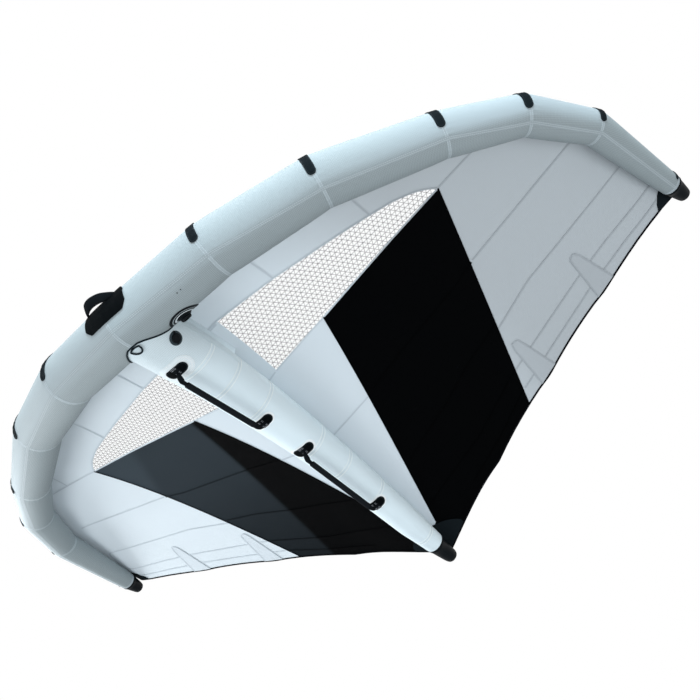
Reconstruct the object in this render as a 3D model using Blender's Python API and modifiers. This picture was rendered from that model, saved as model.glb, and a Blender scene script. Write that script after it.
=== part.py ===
"""An inflatable wing that a rider holds by hand while standing on a hydrofoil board.

The frame: the origin is on the axis of the leading edge tube, in the plane of symmetry. The nose
points to -Y and the tail to +Y, +Z is the upper side, and the tips are at -X and +X. The strut
and the handles are under the canopy. Lengths are in metres.
"""

import math

import bmesh
import bpy
from mathutils import Matrix, Vector
from mathutils.bvhtree import BVHTree

# Driving sizes of the whole wing
HALF_SPAN = 1.70
CHORD = 1.866
TIP_SWEEP_SHARE = 0.6822
TIP_SWEEP = CHORD * TIP_SWEEP_SHARE
TIP_RISE = 0.509
TAIL_HEIGHT = 0.020
LE_RADIUS = 0.108
STRUT_RADIUS = 0.113

# The leading edge tube's rings, from the centre to the tip
RING_SPAN_SHARES = (0, 0.239, 0.477, 0.71, 0.855, 0.947, 1)
RING_SWEEP_SHARES = (0, 0.027, 0.12, 0.288, 0.434, 0.635, 1)
RING_RISE_SHARES = (0, 0.147, 0.373, 0.587, 0.745, 0.874, 1)
RING_RADIUS_SHARES = (1, 1, 0.91, 0.785, 0.695, 0.602, 0.39)
SIDES = 24
LE_CASINGS = (("inner", 0, 2), ("middle", 2, 4), ("outer", 4, 6))

# The trailing edge below each ring, and the camber of the cloth between
TRAILING_CHORD_SHARES = (1, 0.926, 0.848, 0.779, 0.743, 0.722, 0.725)
TRAILING_RISE_SHARES = (0, 0.265, 0.521, 0.737, 0.864, 0.959)
CAMBER_SHARES = (0.054, 0.059, 0.053, 0.047, 0.044, 0.041, 0.04)
CAMBER_SKEW_SHARE = 0.757
CANOPY_ROW_SHARES = (0, 0.027, 0.07, 0.11, 0.155, 0.238, 0.332, 0.415, 0.498, 0.59, 0.702, 0.79,
                     0.887, 0.929, 1)

# The strut's radius along the chord, and where its casing is joined
STRUT_ROW_SHARES = (0, 0.145, 0.327, 0.488, 0.665, 0.836, 0.929)
STRUT_RADIUS_SHARES = (1, 0.982, 0.872, 0.752, 0.646, 0.535, 0.407)
STRUT_START_SHARE = 0.027
STRUT_JOIN_SHARES = (0.332, 0.59)
STRUT_END_SHARE = 0.929

# Walls, cloth and clearances
CASING_WALL = 0.0016
BLADDER_WALL = 0.001
CLOTH = 0.002
PATCH = 0.0012
GAP = 0.0003
OVERRUN = 0.05
MERGE = 1e-6

# Tip cap and strut end cap
TIP_CAP_STEP = 0.0006
TIP_CAP_END_RADIUS = 0.025
TIP_CAP_LENGTH = 0.097
CAP_ROUNDING = 0.006
STRUT_CAP_RADIUS = 0.042
STRUT_CAP_END_RADIUS = 0.030

# Patches on the leading edge tube: angles run round the tube from the nose, up being positive
ABRASION_LOW_DEGREES = (-37, -46, -47, -47)
ABRASION_HIGH_DEGREES = 50
ABRASION_WIDTH = 0.047
ABRASION_INSET = 0.018
PAD_CENTRE_DEGREES = -8
PAD_HALF_LENGTH = 0.100
PAD_RISE = 0.066
PAD_DROP = 0.060
PAD_THICKNESS = 0.003
PAD_CORNER_SHARE = 0.2

# Carrying loop at the nose
LOOP_DEGREES = 5
LOOP_HALF_LENGTH = 0.080
LOOP_REACH = 0.034
LOOP_WIDTH = 0.028
LOOP_STEPS = 12
LOOP_FULLNESS_SHARE = 0.7
LOOP_WIDENING_SHARE = 1.3
WEBBING = 0.003
NECK_WIDTH = 0.008
ROLL_RADIUS = 0.004
ROLL_LENGTH = 0.006
BEND_LIMIT_SHARE = 0.7

# Hand grips under the strut
FRONT_HANDLE_SHARES = (0.127, 0.3565)
REAR_HANDLE_SHARES = (0.480, 0.714)
HANDLE_DROP = 0.038
HANDLE_LEAN = 0.030
HANDLE_STRAP_WIDTH = 0.022
HANDLE_LEG_SHARES = ((0, 0), (0.08, 0.1), (0.4, 0.5), (0.75, 0.85), (0.95, 1))
HANDLE_TAPER_SHARE = 0.8
GRIP_STRAP_WIDTH = 0.012
GRIP_WIDTH = 0.019
GRIP_HEIGHT = 0.012
GRIP_INSET = 0.012
GRIP_ROUNDING = 0.004
HANDLE_PATCH_HALF_LENGTH = 0.048
HANDLE_PATCH_HALF_WIDTH = 0.0225

# Inflation valve on the leading edge
VALVE_SPAN = 0.182
VALVE_DEGREES = -148
VALVE_BASE_RADIUS = 0.062
VALVE_BASE_RIM = 0.005
VALVE_BODY_RADIUS = 0.048
VALVE_BODY_THICKNESS = 0.003
VALVE_STEM_RADIUS = 0.018
VALVE_STEM_DEPTH = 0.024
VALVE_STEM_HEIGHT = 0.009
VALVE_BORE = 0.011
VALVE_CAP_RADIUS = 0.022
VALVE_CAP_HEIGHT = 0.020
VALVE_CAP_ROUNDING = 0.003
WALL_REACH_SHARE = 0.33

# Small valve on the strut
STRUT_VALVE_CHORD = 0.150
STRUT_VALVE_DEGREES = -36
STRUT_VALVE_RADIUS = 0.0265
STRUT_VALVE_THICKNESS = 0.003
STRUT_VALVE_STEM_RADIUS = 0.009
STRUT_VALVE_BORE = 0.005
STRUT_VALVE_STEM_DEPTH = 0.016
STRUT_VALVE_STEM_HEIGHT = 0.005
STRUT_CAP_LID_RADIUS = 0.018
STRUT_CAP_LID_HEIGHT = 0.006
STRUT_CAP_TAB_WIDTH = 0.010
STRUT_CAP_TAB_LENGTH = 0.012
STRUT_CAP_TAB_THICKNESS = 0.002
STRUT_CAP_TURN_DEGREES = 140

# Hose between the two bladders
HOSE_RADIUS = 0.008
HOSE_BORE = 0.005
HOSE_HEIGHT = 0.030
HOSE_REACH = 0.008
STRUT_BLADDER_START = 0.165
BLADDER_END_SETBACK = 0.012

# Fairing strips between strut and canopy, behind the leading edge
FAIRING_START = 0.135
FAIRING_END_SHARE = 0.238
FAIRING_TOP_WIDTH = 0.070
FAIRING_CLOTH = 0.0016
FAIRING_TOP_GAP = 0.0009
FAIRING_STEPS = 4

# Cord along the junction, and the leash loop on it
PIPING_RADIUS = 0.003
PIPING_GAP = 0.0009
PIPING_POINTS = 17
JUNCTION_STEPS = 800
JUNCTION_SEARCH_SHARE = 1.5
PIPING_END_DEGREES = 84
LEASH_CHORD = 0.052
LEASH_LOOP_RADIUS = 0.0195
LEASH_LOOP_REACH = 0.022
LEASH_WIRE_RADIUS = 0.0025
LEASH_TAB_WIDTH = 0.014
LEASH_TAB_DEPTH = 0.009
LEASH_POINTS = 14

# Trims under the cloth at the trailing edge
BINDING_WIDTH = 0.010
BINDING_STRUT_CLEARANCE = 0.014
BINDING_END_SHARE = 0.965
TAIL_PATCH_RADIUS = 0.170
TAIL_PATCH_STEPS = 6

# Seams in the cloth, as shares of the half span and of the chord at that span, from the strut out
FRONT_EDGE_SHARES = ((-0.05, -0.05), (0.5, -0.1), (0.83, -0.05))
CENTRE_SEAM_SHARES = ((-0.05, 0.162), (0.071, 0.161))
WINDOW_FRONT_SHARES = ((0.071, 0.161), (0.15, 0.173), (0.229, 0.186), (0.398, 0.201),
                       (0.526, 0.204), (0.572, 0.209), (0.598, 0.221), (0.615, 0.239))
WINDOW_BACK_SHARES = ((0.615, 0.239), (0.228, 0.35), (0.06, 0.348))
NOSE_SEAM_SHARES = ((0.615, 0.239), (0.728, 0.158), (0.805, 0.065), (0.83, -0.05))
DARK_INNER_SHARES = ((0.228, 0.35), (0.035, 0.918), (-0.05, 0.93))
DARK_OUTER_SHARES = ((0.615, 0.239), (0.412, 1.05))
OUTER_SEAM_START_SHARE = 0.6
OUTER_SEAM_SHARES = ((0.618, 0.718), (0.947, 0.47), (1.03, 0.42))

UP = Vector((0, 0, 1))

for old in list(bpy.data.objects):
    bpy.data.objects.remove(old, do_unlink=True)
WING = bpy.data.collections.new("wingfoil_wing")
CUTTERS = bpy.data.collections.new("cutters")
bpy.context.scene.collection.children.link(WING)
bpy.context.scene.collection.children.link(CUTTERS)


# Materials
def surface(name, colour, roughness, metallic=0.0):
    material = bpy.data.materials.new(name)
    material.use_nodes = True
    shader = material.node_tree.nodes["Principled BSDF"]
    shader.inputs["Base Color"].default_value = (*colour, 1)
    shader.inputs["Roughness"].default_value = roughness
    shader.inputs["Metallic"].default_value = metallic
    return material


# Placing the pieces and the cutters
def link(mesh, name, collection, material=None):
    obj = bpy.data.objects.new(name, mesh)
    collection.objects.link(obj)
    if material:
        obj.data.materials.append(material)
    if collection is CUTTERS:
        obj.hide_render = True
        obj.display_type = "WIRE"
    return obj


def evaluated_mesh(obj):
    bpy.context.view_layer.update()
    graph = bpy.context.evaluated_depsgraph_get()
    return bpy.data.meshes.new_from_object(obj.evaluated_get(graph))


def cut(obj, cutter, operation="DIFFERENCE"):
    modifier = obj.modifiers.new(operation.lower(), "BOOLEAN")
    modifier.operation = operation
    modifier.solver = "EXACT"
    modifier.object = cutter


def mirrored(obj, name):
    """A copy on the other side of the plane of symmetry."""
    mesh = evaluated_mesh(obj)
    mesh.transform(obj.matrix_world)
    mesh.transform(Matrix.Scale(-1, 4, Vector((1, 0, 0))))
    mesh.flip_normals()
    copy = link(mesh, name, WING)
    smooth(copy)
    return copy


def smooth(obj):
    obj.data.shade_smooth()
    obj.data.set_sharp_from_angle(angle=math.radians(35))


def solid_from(bm, name, collection=WING, material=None):
    bmesh.ops.recalc_face_normals(bm, faces=bm.faces)
    mesh = bpy.data.meshes.new(name)
    bm.to_mesh(mesh)
    bm.free()
    return link(mesh, name, collection, material)


# Lofts between unlike sections
def skin(bm, loops):
    """Triangles between loops of points; each quad is split along the same diagonal."""
    rows = [[bm.verts.new(point) for point in loop] for loop in loops]
    for row, following in zip(rows, rows[1:]):
        for i in range(len(row)):
            j = (i + 1) % len(row)
            bm.faces.new((row[i], row[j], following[j]))
            bm.faces.new((row[i], following[j], following[i]))
    return rows


def loft(name, loops, collection=WING, material=None):
    """A closed solid through loops, with a flat cap at each end."""
    bm = bmesh.new()
    rows = skin(bm, loops)
    bm.faces.new(rows[0])
    bm.faces.new(rows[-1])
    return solid_from(bm, name, collection, material)


def rim(bm, outer, inner):
    """Flat faces between an outer row of vertices and an inner one."""
    for i in range(len(outer)):
        j = (i + 1) % len(outer)
        bm.faces.new((outer[i], outer[j], inner[j], inner[i]))


def sleeve(name, outer, inner, collection=WING, material=None):
    """A closed wall between outer loops and inner loops, open at both ends."""
    bm = bmesh.new()
    outside = skin(bm, outer)
    inside = skin(bm, inner)
    rim(bm, outside[0], inside[0])
    rim(bm, outside[-1], inside[-1])
    return solid_from(bm, name, collection, material)


def mirror_whole(bm):
    """Adds the left half of a body that is open at the plane of symmetry."""
    bmesh.ops.mirror(bm, geom=list(bm.verts) + list(bm.faces), axis="X", merge_dist=MERGE)


def whole_solid(name, half_loops, collection, material=None):
    """A solid across the plane of symmetry, from the loops of its right half."""
    bm = bmesh.new()
    rows = skin(bm, half_loops)
    bm.faces.new(rows[-1])
    mirror_whole(bm)
    return solid_from(bm, name, collection, material)


# The leading edge tube
AXIS = [Vector((HALF_SPAN * span, TIP_SWEEP * sweep, TIP_RISE * rise))
        for span, sweep, rise in zip(RING_SPAN_SHARES, RING_SWEEP_SHARES, RING_RISE_SHARES)]
RADII = [LE_RADIUS * share for share in RING_RADIUS_SHARES]
ALONG = [(b - a).normalized() for a, b in zip(AXIS, AXIS[1:])]
TIP = len(AXIS) - 1


def ring(k, extra=0.0, shift=0.0):
    """Ring k, on the plane that halves the bend there; the first point is on top."""
    after = ALONG[min(k, TIP - 1)]
    before = ALONG[k - 1] if k else Vector((after.x, -after.y, -after.z))
    normal = (before + after).normalized()
    up = (UP - normal * UP.dot(normal)).normalized()
    nose = normal.cross(up)
    bend = after - before
    points = []
    for i in range(SIDES):
        angle = math.pi / 2 + i * 2 * math.pi / SIDES
        offset = (nose * math.cos(angle) + up * math.sin(angle)) * (RADII[k] + extra)
        if bend.length > MERGE:
            across = bend.normalized()
            offset += across * offset.dot(across) * (1 / after.dot(normal) - 1)
        points.append(AXIS[k] + offset + before * min(shift, 0) + after * max(shift, 0))
    return points


def tube_wall(first, last, outer, inner, name, collection=CUTTERS, setback=0.0):
    """The wall of the tube from one ring to another, between two distances from its surface."""
    def shifts(k):
        return setback if k == first else -setback if k == last else 0
    rings = range(first, last + 1)
    outside = [ring(k, outer, shifts(k)) for k in rings]
    inside = [ring(k, inner, shifts(k)) for k in rings]
    return sleeve(name, outside, inside, collection)


def tube_frame(span, degrees):
    """A frame on the first casing's surface, with Z pointing out of the tube."""
    along = ALONG[0]
    up = (UP - along * UP.dot(along)).normalized()
    nose = along.cross(up)
    angle = math.radians(degrees)
    out = nose * math.cos(angle) + up * math.sin(angle)
    centre = AXIS[0].lerp(AXIS[1], span / AXIS[1].x)
    return frame_at(centre + out * LE_RADIUS * math.cos(math.pi / SIDES), out, along)


def frame_at(place, out, side):
    """A matrix at a place, with its Z along out and its X as near to side as that allows."""
    out = out.normalized()
    across = out.cross(side).normalized()
    return Matrix.Translation(place) @ Matrix((across.cross(out), across, out)).transposed().to_4x4()


# The canopy's surface
def tip_cap_top(y):
    """Height of the tip cap's top line at a place along the chord."""
    run = (y - AXIS[TIP].y) / (ALONG[-1].y * TIP_CAP_LENGTH)
    radius = RADII[TIP] + (TIP_CAP_END_RADIUS - RADII[TIP]) * run
    return AXIS[TIP].z + ALONG[-1].z * TIP_CAP_LENGTH * run + radius


FRONT = [ring(k, GAP + CLOTH / 2)[0] for k in range(TIP + 1)]
TRAILING_Y = [CHORD * share for share in TRAILING_CHORD_SHARES]
TRAILING_Z = [TAIL_HEIGHT + TIP_RISE * share for share in TRAILING_RISE_SHARES]
TRAILING_Z.append(tip_cap_top(TRAILING_Y[TIP]) + GAP + CLOTH)
BACK = [Vector((front.x, y, z)) for front, y, z in zip(FRONT, TRAILING_Y, TRAILING_Z)]


def cloth_point(k, share):
    """A point of the canopy's middle surface at station k."""
    point = FRONT[k].lerp(BACK[k], share)
    chord = BACK[k].y - FRONT[k].y
    point.z += CAMBER_SHARES[k] * chord * math.sin(math.pi * share ** CAMBER_SKEW_SHARE)
    return point


def between(xs, ys, x):
    """The height at x of a line through points, carried on straight past its ends."""
    i = 0
    while i < len(xs) - 2 and x > xs[i + 1]:
        i += 1
    return ys[i] + (ys[i + 1] - ys[i]) * (x - xs[i]) / (xs[i + 1] - xs[i])


def plan_point(span_share, chord_share):
    x = HALF_SPAN * span_share
    stations = [point.x for point in FRONT]
    front = between(stations, [point.y for point in FRONT], x)
    back = between(stations, TRAILING_Y, x)
    return Vector((x, front + (back - front) * chord_share))


def cloth_layer(name, low, high):
    """A layer of the right half between two heights from the canopy's middle surface."""
    bm = bmesh.new()
    grid = [[bm.verts.new(cloth_point(k, share) + UP * low) for share in CANOPY_ROW_SHARES]
            for k in range(TIP + 1)]
    for left, right in zip(grid, grid[1:]):
        for j in range(len(CANOPY_ROW_SHARES) - 1):
            bm.faces.new((left[j], right[j], right[j + 1]))
            bm.faces.new((left[j], right[j + 1], left[j + 1]))
    raised = bmesh.ops.extrude_face_region(bm, geom=list(bm.faces))["geom"]
    tops = [item for item in raised if isinstance(item, bmesh.types.BMVert)]
    bmesh.ops.translate(bm, vec=UP * (high - low), verts=tops)
    return solid_from(bm, name, CUTTERS)


def drawn_in(outline, distance):
    """An anticlockwise outline drawn in by a distance all round."""
    result = []
    for before, here, after in zip(outline[-1:] + outline[:-1], outline, outline[1:] + outline[:1]):
        first = (here - before).normalized()
        second = (after - here).normalized()
        inward = Vector((-first.y - second.y, first.x + second.x))
        result.append(here + inward * distance / (1 + first.dot(second)))
    return result


def prism(name, outline, low, high, matrix=Matrix()):
    """A cutter with a flat outline, from low to high along a frame's Z."""
    curve = bpy.data.curves.new(name, "CURVE")
    curve.dimensions = "2D"
    curve.fill_mode = "BOTH"
    curve.extrude = (high - low) / 2
    spline = curve.splines.new("POLY")
    spline.points.add(len(outline) - 1)
    for point, place in zip(spline.points, outline):
        point.co = (place[0], place[1], 0, 1)
    spline.use_cyclic_u = True
    source = link(curve, name, CUTTERS)
    mesh = evaluated_mesh(source)
    bpy.data.objects.remove(source)
    bm = bmesh.new()
    bm.from_mesh(mesh)
    bmesh.ops.remove_doubles(bm, verts=bm.verts, dist=MERGE)
    bmesh.ops.transform(bm, verts=bm.verts, matrix=matrix @ Matrix.Translation(UP * (low + high) / 2))
    return solid_from(bm, name, CUTTERS)


def cylinder(name, radius, low, high, matrix, collection=CUTTERS, material=None, sides=32, end=None):
    """A cylinder or cone along a frame's Z, from low to high."""
    bm = bmesh.new()
    bmesh.ops.create_cone(bm, cap_ends=True, segments=sides, radius1=radius,
                          radius2=radius if end is None else end, depth=high - low)
    bmesh.ops.transform(bm, verts=bm.verts, matrix=matrix @ Matrix.Translation(UP * (low + high) / 2))
    return solid_from(bm, name, collection, material)


def bevel(obj, width, segments=2):
    modifier = obj.modifiers.new("rounding", "BEVEL")
    modifier.width = width
    modifier.segments = segments
    modifier.limit_method = "ANGLE"
    modifier.angle_limit = math.radians(50)


def piece(name, source, cutter, material):
    """The part of a cutter-like layer that lies inside another cutter, as a node."""
    obj = link(source.data.copy(), name, WING)
    obj.data.materials.clear()
    obj.data.materials.append(material)
    cut(obj, cutter, "INTERSECT")
    return obj


# The strut
STRUT_Y = [CHORD * share for share in CANOPY_ROW_SHARES]


def strut_section(y):
    """Height of the strut's axis, and its radius, at a place along the chord."""
    radii = [STRUT_RADIUS * between([CHORD * share for share in STRUT_ROW_SHARES],
                                    STRUT_RADIUS_SHARES, row) for row in STRUT_Y]
    radii = [min(radius, STRUT_RADIUS) for radius in radii]
    tops = [cloth_point(0, share).z - CLOTH / 2 - GAP for share in CANOPY_ROW_SHARES]
    rows = [FRONT[0].y + (BACK[0].y - FRONT[0].y) * share for share in CANOPY_ROW_SHARES]
    radius = between(rows, radii, y)
    return between(rows, tops, y) - radius, radius


def strut_ring(y, extra=0.0):
    height, radius = strut_section(y)
    angles = [math.pi / 2 + i * 2 * math.pi / SIDES for i in range(SIDES)]
    reach = radius + extra
    return [Vector((reach * math.cos(a), y, height + reach * math.sin(a))) for a in angles]


def strut_rows(start, end):
    return [start] + [y for y in STRUT_Y if start + GAP < y < end - GAP] + [end]


def strut_wall(start, end, outer, inner, name, collection=CUTTERS, material=None):
    rows = strut_rows(start, end)
    return sleeve(name, [strut_ring(y, outer) for y in rows],
                  [strut_ring(y, inner) for y in rows], collection, material)


# Colours of cloth and fittings
DACRON = surface("pale_blue_dacron", (0.58, 0.70, 0.78), 0.75)
STRUT_DACRON = surface("pale_grey_dacron", (0.60, 0.66, 0.70), 0.75)
CANOPY_GREY = surface("grey_canopy", (0.42, 0.47, 0.52), 0.7)
CANOPY_DARK = surface("dark_canopy", (0.012, 0.014, 0.02), 0.6)
CLEAR = surface("clear_window", (0.85, 0.88, 0.9), 0.2)
BLADDER_FILM = surface("bladder_film", (0.75, 0.78, 0.74), 0.35)
BLACK_TRIM = surface("black_trim", (0.02, 0.022, 0.026), 0.7)
CHARCOAL = surface("charcoal_patch", (0.04, 0.05, 0.06), 0.8)
BLACK_PLASTIC = surface("black_plastic", (0.015, 0.016, 0.018), 0.4)
WEBBING_BLACK = surface("black_webbing", (0.018, 0.019, 0.022), 0.9)
GRIP_FOAM = surface("black_foam", (0.022, 0.024, 0.028), 0.85)


# Casings of the leading edge, the holes in them, and the bladder inside
VALVE_FRAME = tube_frame(VALVE_SPAN, VALVE_DEGREES)
HOSE_FRAME = frame_at(Vector((0, 0, HOSE_HEIGHT)), Vector((0, 1, 0)), Vector((1, 0, 0)))
STRUT_BLADDER_SKIN = -CASING_WALL - GAP


def make_leading_edge():
    stem_hole = cylinder("stem_hole", VALVE_STEM_RADIUS + GAP, -VALVE_STEM_DEPTH - OVERRUN / 2,
                         OVERRUN / 2, VALVE_FRAME)
    hose_hole = cylinder("hose_hole", HOSE_RADIUS + GAP, 0, LE_RADIUS + OVERRUN, HOSE_FRAME)
    for name, first, last in LE_CASINGS:
        casing = tube_wall(first, last, 0, -CASING_WALL, f"le_casing_right_{name}", WING, GAP / 2)
        casing.data.materials.append(DACRON)
        if first == 0:
            cut(casing, hose_hole)
        mirrored(casing, f"le_casing_left_{name}")
        if first == 0:
            cut(casing, stem_hole)
        smooth(casing)
    skin_out = -CASING_WALL - GAP
    rings = range(TIP + 1)
    outer = [ring(k, skin_out, -3 * GAP if k == TIP else 0) for k in rings]
    inner = [ring(k, skin_out - BLADDER_WALL, -BLADDER_WALL - 3 * GAP if k == TIP else 0)
             for k in rings]
    bladder = whole_solid("le_bladder", outer, WING, BLADDER_FILM)
    cut(bladder, whole_solid("le_air", inner, CUTTERS))
    cut(bladder, stem_hole)
    cut(bladder, hose_hole)
    smooth(bladder)


# Black caps on the tips
def make_tip_caps():
    frame = frame_at(AXIS[TIP], ALONG[-1], UP)
    cap = cylinder("tip_cap_right", RADII[TIP] - TIP_CAP_STEP, GAP, TIP_CAP_LENGTH, frame, WING,
                   BLACK_PLASTIC, SIDES, TIP_CAP_END_RADIUS)
    bevel(cap, CAP_ROUNDING)
    smooth(cap)
    mirrored(cap, "tip_cap_left")


# Strips over the seams of the leading edge, which guard them against wear
def rounded_strip(low, high, width, steps=6):
    """An outline with half-round ends, from low to high along Y."""
    radius = width / 2
    points = []
    for centre, start in ((high - radius, 0), (low + radius, math.pi)):
        for i in range(steps + 1):
            angle = start + math.pi * i / steps
            points.append((radius * math.cos(angle), centre + radius * math.sin(angle)))
    return points


def make_abrasion_patches():
    for k, low in enumerate(ABRASION_LOW_DEGREES, start=1):
        patch = tube_wall(k - 1, k + 1, GAP + PATCH, GAP, f"abrasion_patch_right_{k}", WING)
        patch.data.materials.append(CHARCOAL)
        along = (ALONG[k - 1] + ALONG[k]).normalized()
        up = (UP - along * UP.dot(along)).normalized()
        frame = frame_at(AXIS[k] - ALONG[k - 1] * ABRASION_INSET, along.cross(up), along)
        reach = RADII[k] + OVERRUN
        outline = rounded_strip(-RADII[k] * math.sin(math.radians(ABRASION_HIGH_DEGREES)),
                                RADII[k] * math.sin(math.radians(-low)), ABRASION_WIDTH)
        cut(patch, prism(f"abrasion_outline_{k}", outline, 0, reach, frame), "INTERSECT")
        smooth(patch)
        mirrored(patch, f"abrasion_patch_left_{k}")


# Casings, bladder and end cap of the strut, and the hose into it
def make_strut():
    leading_edge = whole_solid("leading_edge_solid", [ring(k, GAP) for k in range(3)], CUTTERS)
    valve_hole = cylinder("strut_stem_hole", STRUT_VALVE_STEM_RADIUS + GAP,
                          -STRUT_VALVE_STEM_DEPTH - OVERRUN / 2, OVERRUN / 2, STRUT_VALVE_FRAME)
    ends = [STRUT_START_SHARE, *STRUT_JOIN_SHARES, STRUT_END_SHARE]
    for name, start, end in zip(("front", "middle", "rear"), ends, ends[1:]):
        casing = strut_wall(CHORD * start + GAP / 2, CHORD * end - GAP / 2, 0, -CASING_WALL,
                            f"strut_casing_{name}", WING, STRUT_DACRON)
        if name == "front":
            cut(casing, leading_edge)
            cut(casing, valve_hole)
        smooth(casing)
    rows = strut_rows(STRUT_BLADDER_START, CHORD * STRUT_END_SHARE - BLADDER_END_SETBACK)
    bladder = loft("strut_bladder", [strut_ring(y, STRUT_BLADDER_SKIN) for y in rows], WING,
                   BLADDER_FILM)
    rows[0] += BLADDER_WALL
    rows[-1] -= BLADDER_WALL
    cut(bladder, loft("strut_air", [strut_ring(y, STRUT_BLADDER_SKIN - BLADDER_WALL)
                                    for y in rows], CUTTERS))
    hose_way = cylinder("hose_way", HOSE_RADIUS + GAP, LE_RADIUS,
                        STRUT_BLADDER_START + OVERRUN, HOSE_FRAME)
    cut(bladder, hose_way)
    cut(bladder, valve_hole)
    smooth(bladder)


def make_strut_end_cap():
    start = CHORD * STRUT_END_SHARE + GAP / 2
    loops = []
    for y, radius in ((start, STRUT_CAP_RADIUS), (CHORD, STRUT_CAP_END_RADIUS)):
        height, tube_radius = strut_section(y)
        centre = height + tube_radius - radius
        loops.append([Vector((radius * math.cos(a), y, centre + radius * math.sin(a)))
                      for a in [math.pi / 2 + i * 2 * math.pi / SIDES for i in range(SIDES)]])
    smooth(loft("strut_end_cap", loops, WING, BLACK_PLASTIC))


def make_hose():
    back = LE_RADIUS - CASING_WALL - BLADDER_WALL
    hose = cylinder("inflation_hose", HOSE_RADIUS, back - HOSE_REACH,
                    STRUT_BLADDER_START + HOSE_REACH, HOSE_FRAME, WING, BLADDER_FILM, 16)
    cut(hose, cylinder("hose_bore", HOSE_BORE, 0, STRUT_BLADDER_START + OVERRUN, HOSE_FRAME,
                       sides=16))
    smooth(hose)


# Fairing strips that close the corner between the strut and the canopy
def make_fairings(canopy_bottom):
    end = CHORD * FAIRING_END_SHARE
    loops = []
    for y in strut_rows(FAIRING_START, end):
        height, radius = strut_section(y)
        section = []
        for extra, top_x in ((GAP, FAIRING_TOP_WIDTH), (GAP + FAIRING_CLOTH,
                                                       FAIRING_TOP_WIDTH + FAIRING_CLOTH)):
            angles = [i * 2 * math.pi / SIDES for i in range(FAIRING_STEPS)]
            side = [Vector(((radius + extra) * math.cos(a), y, height + (radius + extra) * math.sin(a)))
                    for a in angles]
            below = Vector((top_x, y, -HALF_SPAN))
            hit = canopy_bottom.ray_cast(below, UP)[0]
            side.append(hit - UP * FAIRING_TOP_GAP)
            section.append(side)
        loops.append(section[0] + section[1][::-1])
    fairing = loft("strut_fairing_right", loops, WING, STRUT_DACRON)
    smooth(fairing)
    mirrored(fairing, "strut_fairing_left")


# Cord in the corner between the leading edge and the strut
def junction_point(degrees, clearance):
    """Where two tubes, each grown by a clearance, meet; degrees run round the strut from below."""
    angle = math.radians(degrees)
    nearest = None
    for step in range(JUNCTION_STEPS):
        y = LE_RADIUS * JUNCTION_SEARCH_SHARE * (1 - step / JUNCTION_STEPS)
        height, radius = strut_section(y)
        x = (radius + clearance) * math.sin(angle)
        z = height - (radius + clearance) * math.cos(angle)
        across = Vector((abs(x), y, z)).cross(ALONG[0])
        distance = across.length - LE_RADIUS - clearance
        if nearest is None or distance < nearest[0]:
            nearest = (distance, Vector((x, y, z)))
        if distance <= 0:
            break
    return nearest[1]


def tube_curve(name, points, radius, material, cyclic=False, sides=2):
    curve = bpy.data.curves.new(name, "CURVE")
    curve.dimensions = "3D"
    curve.bevel_depth = radius
    curve.bevel_resolution = sides
    curve.use_fill_caps = True
    spline = curve.splines.new("POLY")
    spline.points.add(len(points) - 1)
    for point, place in zip(spline.points, points):
        point.co = (*place, 1)
    spline.use_cyclic_u = cyclic
    return link(curve, name, WING, material)


def make_junction_piping():
    reach = 2 * PIPING_END_DEGREES
    angles = [-PIPING_END_DEGREES + reach * i / (PIPING_POINTS - 1) for i in range(PIPING_POINTS)]
    points = [junction_point(angle, PIPING_RADIUS + PIPING_GAP) for angle in angles]
    tube_curve("junction_piping", points, PIPING_RADIUS, BLACK_TRIM)


# Leash loop on a tab under the strut
def make_leash_loop():
    height, radius = strut_section(LEASH_CHORD)
    bar = Vector((0, LEASH_CHORD, height - radius - GAP - LEASH_TAB_DEPTH / 2))
    half = LEASH_LOOP_RADIUS
    points = []
    for i in range(LEASH_POINTS):
        angle = math.pi * i / (LEASH_POINTS - 1)
        points.append((half * math.cos(angle), LEASH_LOOP_REACH * math.sin(angle), 0))
    loop = tube_curve("leash_loop", points, LEASH_WIRE_RADIUS, BLACK_TRIM, True)
    slope = math.atan2(strut_bottom(LEASH_CHORD + OVERRUN) - strut_bottom(LEASH_CHORD), OVERRUN)
    loop.matrix_world = Matrix.Translation(bar) @ Matrix.Rotation(slope, 4, "X")
    bm = bmesh.new()
    bmesh.ops.create_cube(bm, size=1)
    size = Matrix.Diagonal((LEASH_TAB_WIDTH, LEASH_TAB_DEPTH, LEASH_TAB_DEPTH + radius / 2, 1))
    lift = Matrix.Translation(bar + UP * radius / 4)
    bmesh.ops.transform(bm, verts=bm.verts, matrix=lift @ size)
    tab = solid_from(bm, "leash_loop_tab", WING, WEBBING_BLACK)
    rows = strut_rows(0, CHORD * STRUT_JOIN_SHARES[0])
    cut(tab, loft("strut_front_solid", [strut_ring(y, GAP) for y in rows], CUTTERS))
    across = frame_at(bar, Vector((1, 0, 0)), UP)
    cut(tab, cylinder("leash_bar_hole", LEASH_WIRE_RADIUS + GAP, -OVERRUN, OVERRUN, across, sides=16))


def strut_bottom(y):
    height, radius = strut_section(y)
    return height - radius


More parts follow.
